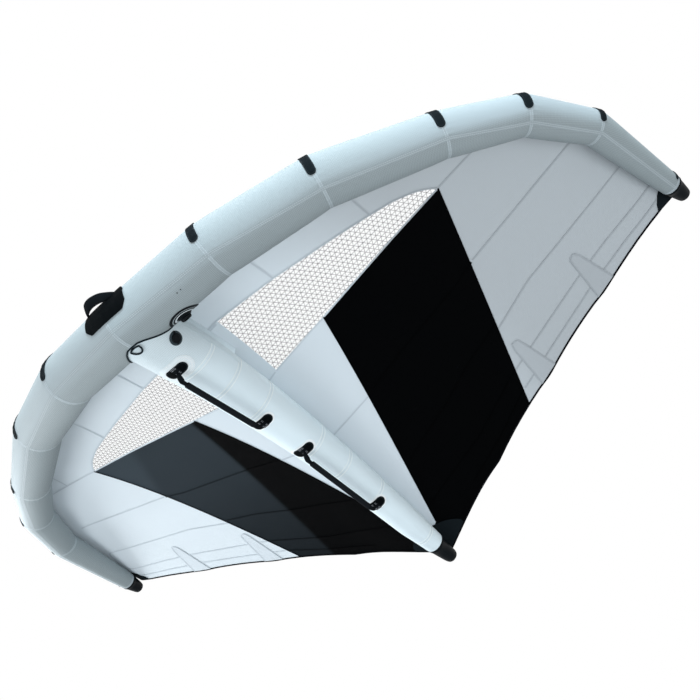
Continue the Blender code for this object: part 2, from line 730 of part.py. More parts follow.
# Inflation valve, with its flange, body and cap
def make_inflation_valve():
    base = tube_wall(0, 1, GAP + PATCH, GAP, "inflation_valve_base", WING)
    base.data.materials.append(CHARCOAL)
    near = LE_RADIUS * WALL_REACH_SHARE
    cut(base, cylinder("base_rim", VALVE_BASE_RADIUS, -near, near, VALVE_FRAME, sides=40), "INTERSECT")
    cut(base, cylinder("base_eye", VALVE_BASE_RADIUS - VALVE_BASE_RIM, -near, near, VALVE_FRAME,
                       sides=40))
    smooth(base)
    body = tube_wall(0, 1, GAP + VALVE_BODY_THICKNESS, GAP, "inflation_valve_body", WING)
    body.data.materials.append(BLACK_PLASTIC)
    cut(body, cylinder("body_rim", VALVE_BODY_RADIUS, -near, near, VALVE_FRAME, sides=40),
        "INTERSECT")
    cut(body, cylinder("body_stem", VALVE_STEM_RADIUS, -VALVE_STEM_DEPTH, VALVE_STEM_HEIGHT,
                       VALVE_FRAME), "UNION")
    cut(body, cylinder("body_bore", VALVE_BORE, -VALVE_STEM_DEPTH - OVERRUN,
                       VALVE_STEM_HEIGHT + OVERRUN, VALVE_FRAME))
    smooth(body)
    cap = cylinder("inflation_valve_cap", VALVE_CAP_RADIUS, VALVE_STEM_HEIGHT + GAP,
                   VALVE_STEM_HEIGHT + VALVE_CAP_HEIGHT, VALVE_FRAME, WING, BLACK_PLASTIC, 12)
    bevel(cap, VALVE_CAP_ROUNDING)
    turn_about(cap, VALVE_FRAME)


def turn_about(obj, frame):
    """Moves an object's origin to a frame, leaving its shape where it is."""
    obj.data.transform(frame.inverted())
    obj.matrix_world = frame


# Deflation valve of the strut, under a hinged lid
def strut_frame(y, degrees):
    """A frame on the strut's surface, with Z pointing straight out of it."""
    angle = math.radians(degrees)
    around = Vector((-math.sin(angle), 0, math.cos(angle)))
    places = []
    for step in (-STRUT_VALVE_STEM_RADIUS, 0, STRUT_VALVE_STEM_RADIUS):
        height, radius = strut_section(y + step)
        reach = radius * math.cos(math.pi / SIDES)
        places.append(Vector((reach * math.cos(angle), y + step, height + reach * math.sin(angle))))
    return frame_at(places[1], (places[2] - places[0]).cross(around), places[0] - places[2])


STRUT_VALVE_FRAME = strut_frame(STRUT_VALVE_CHORD, STRUT_VALVE_DEGREES)


def make_strut_valve():
    wall_start = STRUT_VALVE_CHORD - STRUT_VALVE_RADIUS - OVERRUN / 4
    base = strut_wall(wall_start, STRUT_VALVE_CHORD + OVERRUN, GAP + STRUT_VALVE_THICKNESS, GAP,
                      "strut_valve_base", WING, BLACK_PLASTIC)
    near = STRUT_RADIUS * WALL_REACH_SHARE
    frame = STRUT_VALVE_FRAME
    cut(base, cylinder("strut_base_rim", STRUT_VALVE_RADIUS, -near, near, frame), "INTERSECT")
    cut(base, cylinder("strut_stem", STRUT_VALVE_STEM_RADIUS, -STRUT_VALVE_STEM_DEPTH,
                       STRUT_VALVE_STEM_HEIGHT, frame), "UNION")
    cut(base, cylinder("strut_bore", STRUT_VALVE_BORE, -STRUT_VALVE_STEM_DEPTH - OVERRUN,
                       STRUT_VALVE_STEM_HEIGHT + OVERRUN, frame))
    smooth(base)
    low = STRUT_VALVE_STEM_HEIGHT + GAP
    lid = cylinder("strut_valve_cap", STRUT_CAP_LID_RADIUS, low, low + STRUT_CAP_LID_HEIGHT, frame,
                   WING, BLACK_PLASTIC, 24)
    turn = Matrix.Rotation(math.radians(STRUT_CAP_TURN_DEGREES), 4, "Z")
    bm = bmesh.new()
    bmesh.ops.create_cube(bm, size=1)
    size = Matrix.Diagonal((STRUT_CAP_TAB_LENGTH * 2, STRUT_CAP_TAB_WIDTH, STRUT_CAP_TAB_THICKNESS, 1))
    place = Matrix.Translation((STRUT_CAP_LID_RADIUS, 0, low + STRUT_CAP_LID_HEIGHT / 2))
    bmesh.ops.transform(bm, verts=bm.verts, matrix=frame @ turn @ place @ size)
    cut(lid, solid_from(bm, "lid_tab", CUTTERS), "UNION")
    hinge = Matrix.Translation((-STRUT_CAP_LID_RADIUS, 0, low + STRUT_CAP_LID_HEIGHT / 2))
    turn_about(lid, frame @ turn @ hinge)


# Handles: patches on the strut, and a strap with a foam grip that swings below them
def stadium(y):
    """An outline with half-round ends, lying across the strut."""
    strip = rounded_strip(-HANDLE_PATCH_HALF_LENGTH, HANDLE_PATCH_HALF_LENGTH,
                          2 * HANDLE_PATCH_HALF_WIDTH)
    return [(-v, y + u) for u, v in strip]


def strap(name, stations, matrix, material):
    """A flat strap through (along, out, width) stations, with a roll at each end."""
    points = [Vector((along, 0, out)) for along, out, _ in stations]
    loops = []
    for i, (point, station) in enumerate(zip(points, stations)):
        before = points[max(i - 1, 0)]
        after = points[min(i + 1, len(points) - 1)]
        run = (after - before).normalized()
        square = Vector((-run.z, 0, run.x)) * WEBBING / 2
        if 0 < i < len(points) - 1:
            square /= max(((after - point).normalized()).dot(run), BEND_LIMIT_SHARE)
        side = Vector((0, station[2] / 2, 0))
        loops.append([matrix @ (point + square + side), matrix @ (point + square - side),
                      matrix @ (point - square - side), matrix @ (point - square + side)])
    obj = loft(name, loops, WING, material)
    for end in (points[0], points[-1]):
        turn = frame_at(end, Vector((1, 0, 0)), UP)
        cut(obj, cylinder(f"{name}_roll", ROLL_RADIUS, -ROLL_LENGTH / 2, ROLL_LENGTH / 2,
                          matrix @ turn, sides=16), "UNION")
    turn_about(obj, matrix)
    return obj


def make_handle(name, shares):
    ends = [CHORD * share for share in shares]
    for y, place in zip(ends, ("front", "rear")):
        patch = strut_wall(y - OVERRUN, y + OVERRUN, GAP + PATCH, GAP,
                           f"{name}_patch_{place}", WING, CHARCOAL)
        height, radius = strut_section(y)
        outline = prism(f"{name}_{place}_outline", stadium(y), height - 2 * radius, height)
        cut(patch, outline, "INTERSECT")
        smooth(patch)
    lowest = [min(strut_bottom(y - ROLL_LENGTH), strut_bottom(y + ROLL_LENGTH)) for y in ends]
    pivots = [Vector((0, y, low - GAP - PATCH - GAP - ROLL_RADIUS)) for y, low in zip(ends, lowest)]
    line = pivots[1] - pivots[0]
    length = line.length
    frame = frame_at(pivots[0], line * line.z / length ** 2 - UP, line)
    depth = HANDLE_DROP - ROLL_RADIUS
    lean = HANDLE_LEAN
    grip_start = lean + GRIP_INSET
    widths = (NECK_WIDTH, NECK_WIDTH, HANDLE_STRAP_WIDTH, HANDLE_STRAP_WIDTH * HANDLE_TAPER_SHARE,
              GRIP_STRAP_WIDTH + WEBBING)
    half = [(lean * forward, depth * down, width)
            for (forward, down), width in zip(HANDLE_LEG_SHARES, widths)]
    half.append((grip_start, depth, GRIP_STRAP_WIDTH))
    other = [(length - along, out, width) for along, out, width in reversed(half)]
    strap(f"{name}_webbing", half + other, frame, WEBBING_BLACK)
    bm = bmesh.new()
    bmesh.ops.create_cube(bm, size=1)
    grip_length = length - 2 * (grip_start + WEBBING)
    place = Matrix.Translation((length / 2, 0, depth))
    size = Matrix.Diagonal((grip_length, GRIP_WIDTH, GRIP_HEIGHT, 1))
    bmesh.ops.transform(bm, verts=bm.verts, matrix=place @ size)
    grip = solid_from(bm, f"{name}_grip", WING, GRIP_FOAM)
    bevel(grip, GRIP_ROUNDING, 3)
    bm = bmesh.new()
    bmesh.ops.create_cube(bm, size=1)
    slot = Matrix.Diagonal((grip_length + OVERRUN, GRIP_STRAP_WIDTH + 2 * GAP, WEBBING + 2 * GAP, 1))
    bmesh.ops.transform(bm, verts=bm.verts, matrix=frame @ place @ slot)
    cut(grip, solid_from(bm, f"{name}_slot", CUTTERS))
    grip.matrix_world = frame


# Carrying loop at the nose, on its pad
def make_neutral_handle():
    along = Vector((1, 0, 0))
    out = Vector((0, -math.cos(math.radians(PAD_CENTRE_DEGREES)),
                  math.sin(math.radians(PAD_CENTRE_DEGREES))))
    wall = whole_wall("pad_wall", GAP + PAD_THICKNESS, GAP)
    frame = frame_at(Vector((0, 0, 0)), out, along)
    outline = rounded_box(PAD_HALF_LENGTH, PAD_RISE, PAD_DROP)
    pad = piece("neutral_handle_pad", wall, prism("pad_outline", outline, 0, 2 * LE_RADIUS, frame),
                CHARCOAL)
    smooth(pad)
    angle = math.radians(LOOP_DEGREES)
    out = Vector((0, -math.cos(angle), math.sin(angle)))
    place = AXIS[0].lerp(AXIS[1], LOOP_HALF_LENGTH / AXIS[1].x)
    lift = place.dot(out) + LE_RADIUS + GAP + PAD_THICKNESS + GAP + ROLL_RADIUS
    side = Vector((0, out.z, -out.y))
    start = Vector((-LOOP_HALF_LENGTH, 0, 0)) + out * lift + side * place.dot(side) / 2
    matrix = frame_at(start, out, along)
    stations = []
    for i in range(LOOP_STEPS + 1):
        turn = math.pi * i / LOOP_STEPS
        rise = LOOP_REACH * math.sin(turn) ** LOOP_FULLNESS_SHARE
        opened = min(rise / LOOP_REACH * LOOP_WIDENING_SHARE, 1)
        width = NECK_WIDTH + (LOOP_WIDTH - NECK_WIDTH) * opened
        stations.append((LOOP_HALF_LENGTH * (1 - math.cos(turn)), rise, width))
    strap("neutral_handle_loop", stations, matrix, WEBBING_BLACK)


def whole_wall(name, outer, inner):
    """The wall of the tube across the plane of symmetry, from one first ring to the other."""
    bm = bmesh.new()
    outside = skin(bm, [ring(0, outer), ring(1, outer)])
    inside = skin(bm, [ring(0, inner), ring(1, inner)])
    rim(bm, outside[-1], inside[-1])
    mirror_whole(bm)
    return solid_from(bm, name, CUTTERS)


def rounded_box(half_length, rise, drop):
    """An outline with cut corners; its Y points down round the tube."""
    corner = (rise + drop) * PAD_CORNER_SHARE
    return [Vector(p) for p in (
        (-half_length, -rise + corner), (-half_length + corner, -rise), (half_length - corner, -rise),
        (half_length, -rise + corner), (half_length, drop - corner), (half_length - corner, drop),
        (-half_length + corner, drop), (-half_length, drop - corner))]


# Canopy panels, and the trims under them
def plan(shares):
    return [plan_point(*share) for share in shares]


def make_canopy():
    cloth = cloth_layer("cloth_layer", -CLOTH / 2, CLOTH / 2)
    trim = cloth_layer("trim_layer", -CLOTH / 2 - GAP - PATCH, -CLOTH / 2 - GAP)
    centre = plan(CENTRE_SEAM_SHARES)
    window_front = plan(WINDOW_FRONT_SHARES)
    window_back = plan(WINDOW_BACK_SHARES)
    nose_seam = plan(NOSE_SEAM_SHARES)
    inner = plan(DARK_INNER_SHARES)
    outer = plan(DARK_OUTER_SHARES)
    cross = [outer[0].lerp(outer[1], OUTER_SEAM_START_SHARE)] + plan(OUTER_SEAM_SHARES)
    front_edge = plan(FRONT_EDGE_SHARES)
    middle = [Vector((0, centre[0].y)), Vector((0, inner[2].y))]
    panels = (
        ("canopy_front_strip", CANOPY_GREY,
         [Vector((0, front_edge[0].y - OVERRUN))] + [p - Vector((0, OVERRUN)) for p in front_edge[1:]]
         + nose_seam[-2::-1] + window_front[-2::-1] + [middle[0]]),
        ("canopy_window", CLEAR, window_front + window_back[1:]),
        ("canopy_centre", CANOPY_GREY,
         [middle[0]] + centre[1:] + [window_back[2]] + [window_back[1]] + [inner[1], middle[1]]),
        ("canopy_dark_panel", CANOPY_DARK,
         [middle[1], inner[1], inner[0], outer[0], outer[1], Vector((0, CHORD + OVERRUN))]),
        ("canopy_outer_front", CANOPY_GREY,
         nose_seam[:-1] + [front_edge[2], Vector((HALF_SPAN + OVERRUN, -OVERRUN)),
                           cross[3] + Vector((OVERRUN, 0))] + cross[2::-1]),
        ("canopy_outer_rear", CANOPY_GREY,
         cross + [Vector((HALF_SPAN + OVERRUN, CHORD)), outer[1]]),
    )
    for name, material, outline in panels:
        outline = drawn_in(anticlockwise(outline), GAP / 2)
        cutter = prism(f"{name}_outline", outline, -HALF_SPAN, HALF_SPAN)
        panel = piece(f"{name}_right", cloth, cutter, material)
        mirrored(panel, f"{name}_left")
    make_trims(trim)
    bm = bmesh.new()
    bm.from_mesh(cloth.data)
    bottom = BVHTree.FromBMesh(bm)
    bm.free()
    return bottom


def anticlockwise(outline):
    area = sum(a.x * b.y - b.x * a.y for a, b in zip(outline, outline[1:] + outline[:1]))
    return outline if area > 0 else outline[::-1]


def make_trims(trim):
    """Binding along the trailing edge, and the rounded patch at the tail."""
    stations = [Vector((p.x, y)) for p, y in zip(FRONT, TRAILING_Y)]
    end_x = HALF_SPAN * BINDING_END_SHARE
    xs = [BINDING_STRUT_CLEARANCE] + [p.x for p in stations[1:-1]] + [end_x]
    edge = [Vector((x, between([p.x for p in stations], TRAILING_Y, x))) for x in xs]
    back = [p - Vector((0, BINDING_WIDTH)) for p in reversed(edge)]
    past = [p + Vector((0, OVERRUN)) for p in edge]
    binding = piece("trailing_edge_binding_right", trim,
                    prism("binding_outline", past + back, -HALF_SPAN, HALF_SPAN), BLACK_TRIM)
    mirrored(binding, "trailing_edge_binding_left")
    inside = prism("trim_limit", past + [p - Vector((0, GAP)) for p in back], -CHORD, CHORD)
    arc = [Vector((BINDING_STRUT_CLEARANCE, CHORD + OVERRUN))]
    for i in range(TAIL_PATCH_STEPS + 1):
        angle = math.pi / 2 * i / TAIL_PATCH_STEPS
        arc.append(Vector((max(TAIL_PATCH_RADIUS * math.sin(angle), BINDING_STRUT_CLEARANCE),
                           CHORD - TAIL_PATCH_RADIUS * math.cos(angle))))
    arc.append(Vector((TAIL_PATCH_RADIUS, CHORD + OVERRUN)))
    corner = piece("tail_patch_right", trim, prism("tail_outline", arc, -HALF_SPAN, HALF_SPAN),
                   CHARCOAL)
    cut(corner, inside)
    mirrored(corner, "tail_patch_left")


make_leading_edge()
make_tip_caps()
make_abrasion_patches()
make_strut()
make_strut_end_cap()
make_hose()
make_fairings(make_canopy())
make_junction_piping()
make_leash_loop()
make_inflation_valve()
make_strut_valve()
make_handle("front_handle", FRONT_HANDLE_SHARES)
make_handle("rear_handle", REAR_HANDLE_SHARES)
make_neutral_handle()
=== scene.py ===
import math

import bmesh
import bpy
from mathutils import Matrix, Vector


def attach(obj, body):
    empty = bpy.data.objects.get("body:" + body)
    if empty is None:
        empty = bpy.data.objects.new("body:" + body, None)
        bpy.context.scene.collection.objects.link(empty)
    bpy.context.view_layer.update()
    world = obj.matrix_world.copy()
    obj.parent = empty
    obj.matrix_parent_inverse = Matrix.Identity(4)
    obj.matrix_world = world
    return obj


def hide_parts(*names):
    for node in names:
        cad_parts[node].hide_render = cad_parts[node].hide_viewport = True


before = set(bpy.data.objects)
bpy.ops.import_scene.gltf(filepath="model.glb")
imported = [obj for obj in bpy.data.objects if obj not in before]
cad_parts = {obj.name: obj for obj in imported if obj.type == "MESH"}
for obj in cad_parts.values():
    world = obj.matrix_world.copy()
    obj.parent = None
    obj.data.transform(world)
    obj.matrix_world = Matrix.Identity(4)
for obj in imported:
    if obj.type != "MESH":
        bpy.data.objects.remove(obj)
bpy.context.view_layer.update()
scene = bpy.context.scene

# Camera and studio. The wing hangs in the air and is seen from below, past its right-hand tip.
# The floor lies well under the camera, and the pale sky lights the cloth from above.
camera = bpy.data.cameras.new("camera")
camera.sensor_width = 36
camera.lens = 44.8
camera.clip_end = 100
camera_object = bpy.data.objects.new("camera", camera)
camera_object.matrix_world = Matrix((
    (0.733792, 0.565752, 0.37613, 1.69644), (0.67607, -0.553559, -0.486315, -0.920292),
    (-0.066923, 0.611144, -0.788685, -2.55579), (0, 0, 0, 1)))
scene.collection.objects.link(camera_object)
scene.camera = camera_object
scene.view_settings.view_transform = "Standard"


class Socket:
    """A value, colour or vector on its way through the nodes of one finish."""

    def __init__(self, finish, socket):
        self.finish, self.socket = finish, socket

    def maths(self, operation, *others):
        inputs = dict(enumerate((self, *others)))
        return self.finish.node("ShaderNodeMath", {"operation": operation}, inputs)

    def __add__(self, other):
        return self.maths("ADD", other)

    def __sub__(self, other):
        return self.maths("SUBTRACT", other)

    def __rsub__(self, other):
        return self.finish.node("ShaderNodeMath", {"operation": "SUBTRACT"}, {0: other, 1: self})

    def __mul__(self, other):
        return self.maths("MULTIPLY", other)

    def __truediv__(self, other):
        return self.maths("DIVIDE", other)

    def __lt__(self, other):
        return self.maths("LESS_THAN", other)

    __radd__ = __add__
    __rmul__ = __mul__

    def wave(self, pitch):
        """From 0 to 1 and back once in every pitch."""
        return ((self * (2 * math.pi / pitch)).maths("SINE") + 1) * 0.5

    def lines(self, pitch, width):
        """1 on a thread of this width in every pitch, and 0 between."""
        return (self / pitch).maths("FRACT") < width / pitch

    def clamp(self):
        return self.finish.node("ShaderNodeClamp", {}, {"Value": self}, "Result")

    def smooth(self, low, high):
        return self.finish.node("ShaderNodeMapRange", {"interpolation_type": "SMOOTHSTEP"},
                                {"Value": self, "From Min": low, "From Max": high}, "Result")


class Finish:
    """One material, which keeps the name of its slot. Its cloth coordinates run along and across a
    piece, in metres."""

    def __init__(self, name, colour, roughness, slot=None, **fixed):
        self.slot = slot
        self.material = bpy.data.materials.new(name)
        self.material.use_nodes = True
        self.tree = self.material.node_tree
        self.shader = self.tree.nodes["Principled BSDF"]
        self.shader.inputs["Base Color"].default_value = (*colour, 1)
        self.shader.inputs["Roughness"].default_value = roughness
        for key, value in fixed.items():
            self.shader.inputs[key.replace("_", " ")].default_value = value
        self.material.diffuse_color = (*colour, 1)

    def node(self, kind, settings, inputs, output=0):
        node = self.tree.nodes.new(kind)
        for key, value in settings.items():
            setattr(node, key, value)
        for key, value in inputs.items():
            if isinstance(value, Socket):
                self.tree.links.new(value.socket, node.inputs[key])
            else:
                node.inputs[key].default_value = value
        return Socket(self, node.outputs[output])

    def cloth(self):
        uv = self.node("ShaderNodeUVMap", {"uv_map": "cloth"}, {})
        return self.apart(uv)[:2]

    def place(self):
        return self.node("ShaderNodeTexCoord", {}, {}, "Object")

    def apart(self, vector):
        node = self.tree.nodes.new("ShaderNodeSeparateXYZ")
        self.tree.links.new(vector.socket, node.inputs[0])
        return [Socket(self, output) for output in node.outputs]

    def noise(self, scale, detail=2.0):
        inputs = {"Vector": self.place(), "Scale": scale, "Detail": detail}
        return self.node("ShaderNodeTexNoise", {}, inputs, "Fac")

    def mix(self, factor, first, second):
        inputs = {"Factor": factor, 6: first, 7: second}
        for key in (6, 7):
            if not isinstance(inputs[key], Socket):
                inputs[key] = (*inputs[key], 1)
        return self.node("ShaderNodeMix", {"data_type": "RGBA"}, inputs, 2)

    def feed(self, **sockets):
        for key, value in sockets.items():
            self.tree.links.new(value.socket, self.shader.inputs[key.replace("_", " ")])

    def bump(self, height, distance, strength=1.0):
        inputs = {"Height": height, "Distance": distance, "Strength": strength}
        self.feed(Normal=self.node("ShaderNodeBump", {}, inputs, "Normal"))


floor_bm = bmesh.new()
bmesh.ops.create_grid(floor_bm, x_segments=1, y_segments=1, size=40)
bmesh.ops.translate(floor_bm, verts=floor_bm.verts, vec=(0, 1, -5.2))
floor_mesh = bpy.data.meshes.new("studio_floor")
floor_bm.to_mesh(floor_mesh)
floor_bm.free()
studio_floor = bpy.data.objects.new("studio_floor", floor_mesh)
scene.collection.objects.link(studio_floor)
floor_finish = Finish("pale_floor", (0.46, 0.48, 0.5), 0.9)
floor_mesh.materials.append(floor_finish.material)

SKY_LIGHT, SKY_SEEN = 0.72, 1.0  # what the sky gives, and how bright the camera sees it
world = bpy.data.worlds.new("pale_sky")
world.use_nodes = True
sky = world.node_tree.nodes["Background"]
sky.inputs["Color"].default_value = (1.0, 1.0, 1.0, 1)
seen = world.node_tree.nodes.new("ShaderNodeLightPath")
strength = world.node_tree.nodes.new("ShaderNodeMath")
strength.operation = "MULTIPLY_ADD"
strength.inputs[1].default_value = SKY_SEEN - SKY_LIGHT
strength.inputs[2].default_value = SKY_LIGHT
world.node_tree.links.new(seen.outputs["Is Camera Ray"], strength.inputs[0])
world.node_tree.links.new(strength.outputs[0], sky.inputs["Strength"])
scene.world = world
DAYLIGHT = (0.96, 0.985, 1.0)
for name, place, aim, size, power, colour in (
        ("sky_panel", (0.5, -4.0, 6.0), (0, 0.6, 0), 6.0, 450, DAYLIGHT),
        ("bow_panel", (3.4, -4.4, 1.6), (0.5, 0.4, 0.1), 2.5, 440, (0.8, 0.94, 1.0)),
        ("side_panel", (3.0, 0.6, -2.6), (0, 0.9, 0), 2.0, 54, DAYLIGHT),
        ("port_panel", (-4.2, 0.6, 0.4), (-1.3, 0.9, 0.2), 2.2, 190, DAYLIGHT),
        ("low_panel", (-1.9, -1.0, -2.9), (-0.5, 1.1, 0), 1.8, 62, DAYLIGHT)):
    light = bpy.data.lights.new(name, "AREA")
    light.size, light.energy, light.color = size, power, colour
    light_object = bpy.data.objects.new(name, light)
    light_object.visible_camera = False
    turn = (Vector(aim) - Vector(place)).to_track_quat("-Z", "Y")
    light_object.matrix_world = Matrix.Translation(place) @ turn.to_matrix().to_4x4()
    scene.collection.objects.link(light_object)


# Leading edge tube: woven polyester casings, sewn from tapering lengths with a mitred seam at
# each bend. Air pressure rounds them, and the cloth puckers a little beside each seam.
SIDES = (("right", 1), ("left", -1))
RING_X = (0, 0.4063, 0.8109, 1.207, 1.4535, 1.6099, 1.7)
RING_Y = (0, 0.0344, 0.1528, 0.3666, 0.5525, 0.8084, 1.273)
RING_Z = (0, 0.0748, 0.1899, 0.2988, 0.3792, 0.4449, 0.509)
RING_RADIUS = (0.108, 0.108, 0.0983, 0.0848, 0.0751, 0.065, 0.0421)
SPINE = [Vector(place) for place in zip(RING_X, RING_Y, RING_Z)]
RUNS = [(b - a).normalized() for a, b in zip(SPINE, SPINE[1:])]
LENGTHS = [(b - a).length for a, b in zip(SPINE, SPINE[1:])]
REACHES = [sum(LENGTHS[:k]) for k in range(7)]
UP = Vector((0, 0, 1))
PUFF = 0.0022  # how far a length swells between its seams
ROUND = 96  # steps round the tube
COLUMN_SHARES = (0.03, 0.07, 0.13, 0.22, 0.34, 0.5, 0.66, 0.78, 0.87, 0.93, 0.97, 1)


def between(stations, x):
    """The stretch of the stations that x lies in, and how far along that stretch it is."""
    k = 0
    while k < len(stations) - 2 and x > stations[k + 1]:
        k += 1
    return k, (x - stations[k]) / (stations[k + 1] - stations[k])


def value_at(stations, values, x):
    """The value at x, in straight lines from station to station."""
    k, share = between(stations, x)
    return values[k] + (values[k + 1] - values[k]) * share


def ring_offset(k, degrees, radius):
    after = RUNS[min(k, 5)]
    before = RUNS[k - 1] if k else Vector((after.x, -after.y, -after.z))
    normal = (before + after).normalized()
    up = (UP - normal * UP.dot(normal)).normalized()
    angle = math.radians(degrees)
    offset = (normal.cross(up) * math.cos(angle) + up * math.sin(angle)) * radius
    bend = after - before
    if bend.length > 0.001:
        across = bend.normalized()
        offset += across * offset.dot(across) * (1 / after.dot(normal) - 1)
    return offset


def le_place(reach, degrees, lift=0.0):
    """A place on the tube: metres along it from the centre, degrees round it from the nose."""
    along = min(abs(reach), REACHES[6] + 0.01)
    k, share = between(REACHES, along)
    seam = min(along - REACHES[k], abs(REACHES[k + 1] - along))
    pucker = 0.0006 * math.exp(-seam / 0.02) * math.sin(math.radians(degrees) * 26)
    rise = lift + PUFF * (1 - math.exp(-seam / 0.03)) + pucker
    first, second = (SPINE[i] + ring_offset(i, degrees, RING_RADIUS[i] + rise) for i in (k, k + 1))
    place = first.lerp(second, share)
    return Vector((-place.x, place.y, place.z)) if reach < 0 else place


def le_radius(reach):
    return value_at(REACHES, RING_RADIUS, min(abs(reach), REACHES[6]))


def sewn(name, bm, material, replaces=(), body="wing", thickness=0.0, offset=1.0, rounding=0.0,
         slot=None):
    """Makes a finished piece of a bmesh, which moves with a body and may stand for nodes."""
    for edge in bm.edges:
        edge.smooth = not (thickness and edge.is_boundary)
    mesh = bpy.data.meshes.new(name)
    bm.to_mesh(mesh)
    bm.free()
    mesh.materials.append(material.material)
    mesh.shade_smooth()
    piece = bpy.data.objects.new(name, mesh)
    scene.collection.objects.link(piece)
    if thickness:
        solid = piece.modifiers.new("thickness", "SOLIDIFY")
        solid.thickness, solid.offset = thickness, offset
    if rounding:
        bevel = piece.modifiers.new("rounding", "BEVEL")
        bevel.width, bevel.segments, bevel.limit_method = rounding, 2, "ANGLE"
        bevel.angle_limit = math.radians(40)
    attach(piece, body)
    slot or material.slot
    if replaces:
        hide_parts(*replaces)
    return piece


def lay(bm, surface, flip=False, out=None, cloth=lambda flat: flat.xy):
    """Lays flat cloth, drawn on XY, on a surface. Its flat place gives its cloth coordinates."""
    layer = bm.loops.layers.uv.new("cloth")
    for face in bm.faces:
        for loop in face.loops:
            loop[layer].uv = cloth(loop.vert.co)
    for vert in bm.verts:
        vert.co = surface(vert.co.x, vert.co.y)
    bm.normal_update()
    if flip or out and sum(face.normal.dot(out) * face.calc_area() for face in bm.faces) < 0:
        bmesh.ops.reverse_faces(bm, faces=bm.faces)
    return bm


def grid(low, high, columns, rows):
    """A flat grid of cloth between two corners."""
    bm = bmesh.new()
    centre = ((low[0] + high[0]) / 2, (low[1] + high[1]) / 2, 0)
    size = Matrix.Diagonal(((high[0] - low[0]) / 2, (high[1] - low[1]) / 2, 1, 1))
    bmesh.ops.create_grid(bm, x_segments=columns, y_segments=rows, size=1,
                          matrix=Matrix.Translation(centre) @ size)
    return bm


def dacron(name, slot, colour, shaded, pitch=0.0052, low=None):
    """Woven polyester with a fine square grid of thicker threads, and the haze of handling. It has
    painted shade: it turns to the shaded colour towards the front, at low Y, and to the low colour
    on faces turned towards the tail.
    """
    finish = Finish(name, colour, 0.72, slot, Specular_IOR_Level=0.35)
    u, v = finish.cloth()
    haze = finish.noise(2.2, 4.0)
    ribs = u.lines(pitch, pitch * 0.25).maths("MAXIMUM", v.lines(pitch, pitch * 0.25))
    # Painted shade: darker towards the front, at low Y, mixed with a cloudy haze.
    painted_lit_and_haze = finish.apart(finish.place())[1].smooth(0.12, 0.42) * 0.6 + haze * 0.4 + 0.1
    base = finish.mix(painted_lit_and_haze.clamp(), shaded, colour)
    # Painted shade: faces turned towards the tail take the darker low colour.
    if low:
        facing = finish.apart(finish.node("ShaderNodeNewGeometry", {}, {}, "Normal"))[1]
        base = finish.mix(facing.smooth(-0.42, 0.05), base, low)
    light = tuple(min(1, c * 1.09) for c in colour)
    finish.feed(Base_Color=finish.mix(ribs * 0.5, base, light), Roughness=0.66 + haze * 0.16)
    weave = u.wave(0.0011) * v.wave(0.0011) * 0.3 + ribs * 0.5 + finish.noise(9, 3.0) * 3.0
    finish.bump(weave, 0.0006, 0.8)
    return finish


# The shaded and low colours are painted shade: darker at the front and on the side turned towards
# the tail.
LE_DACRON = dacron("le_dacron", "dacron", (0.345, 0.403, 0.434), (0.3, 0.345, 0.36), 0.006,
                   (0.24, 0.276, 0.284))
for side, sign in SIDES:
    for name, first, last in (("inner", 0, 2), ("middle", 2, 4), ("outer", 4, 6)):
        columns = [REACHES[first]]
        for k in range(first, last):
            columns += [REACHES[k] + LENGTHS[k] * share for share in COLUMN_SHARES]

        def skin_place(column, row):
            return le_place(columns[round(column)] * sign or sign * 1e-6, row * 360 / ROUND)

        def skin_cloth(flat):
            reach = columns[round(flat.x)]
            return reach, flat.y / ROUND * 2 * math.pi * le_radius(reach)
        le_bm = grid((0, 0), (len(columns) - 1, ROUND), len(columns) - 1, ROUND)
        lay(le_bm, skin_place, flip=sign < 0, cloth=skin_cloth)
        bmesh.ops.remove_doubles(le_bm, verts=le_bm.verts, dist=0.0001)
        sewn(f"le_skin_{side}_{name}", le_bm, LE_DACRON, [f"le_casing_{side}_{name}"],
             thickness=0.0012, offset=-1.0)


# Sewn seams: a flat felled fold round the tube at each bend and one along its underside, each
# held by two rows of pale polyester thread.
LOW_SEAM = (-63, -70, -79, -75, -85, -80, -78)


def stitched(name, slot, cloth, thread, pitch, row, half):
    """A narrow fold with a row of stitches to either side, at this distance from its middle."""
    finish = Finish(name, cloth, 0.8, slot)
    u, v = finish.cloth()
    on_row = (v.maths("ABSOLUTE") - row).maths("ABSOLUTE") < half
    stitches = on_row * u.lines(pitch, pitch * 0.72)
    cloudy = finish.mix(finish.noise(14, 3.0), tuple(c * 0.86 for c in cloth), cloth)
    finish.feed(Base_Color=finish.mix(stitches, cloudy, thread))
    finish.bump(stitches + u.wave(0.0012) * 0.2, 0.0005)
    return finish


LE_SEAM = stitched("le_seam", "dacron", (0.35, 0.405, 0.433), (0.46, 0.52, 0.55), 0.007, 0.0042,
                   0.0012)
FAINT_SEAM = stitched("faint_seam", "dacron", (0.305, 0.352, 0.372), (0.4, 0.455, 0.48), 0.0075,
                      0.003, 0.0014)


def tape(name, material, surface, start, end, width, columns, thickness):
    """A strip of cloth from start to end along one cloth direction; width is across it."""
    bm = grid((start, -width / 2), (end, width / 2), columns, 2)
    return sewn(name, lay(bm, surface), material, thickness=thickness)


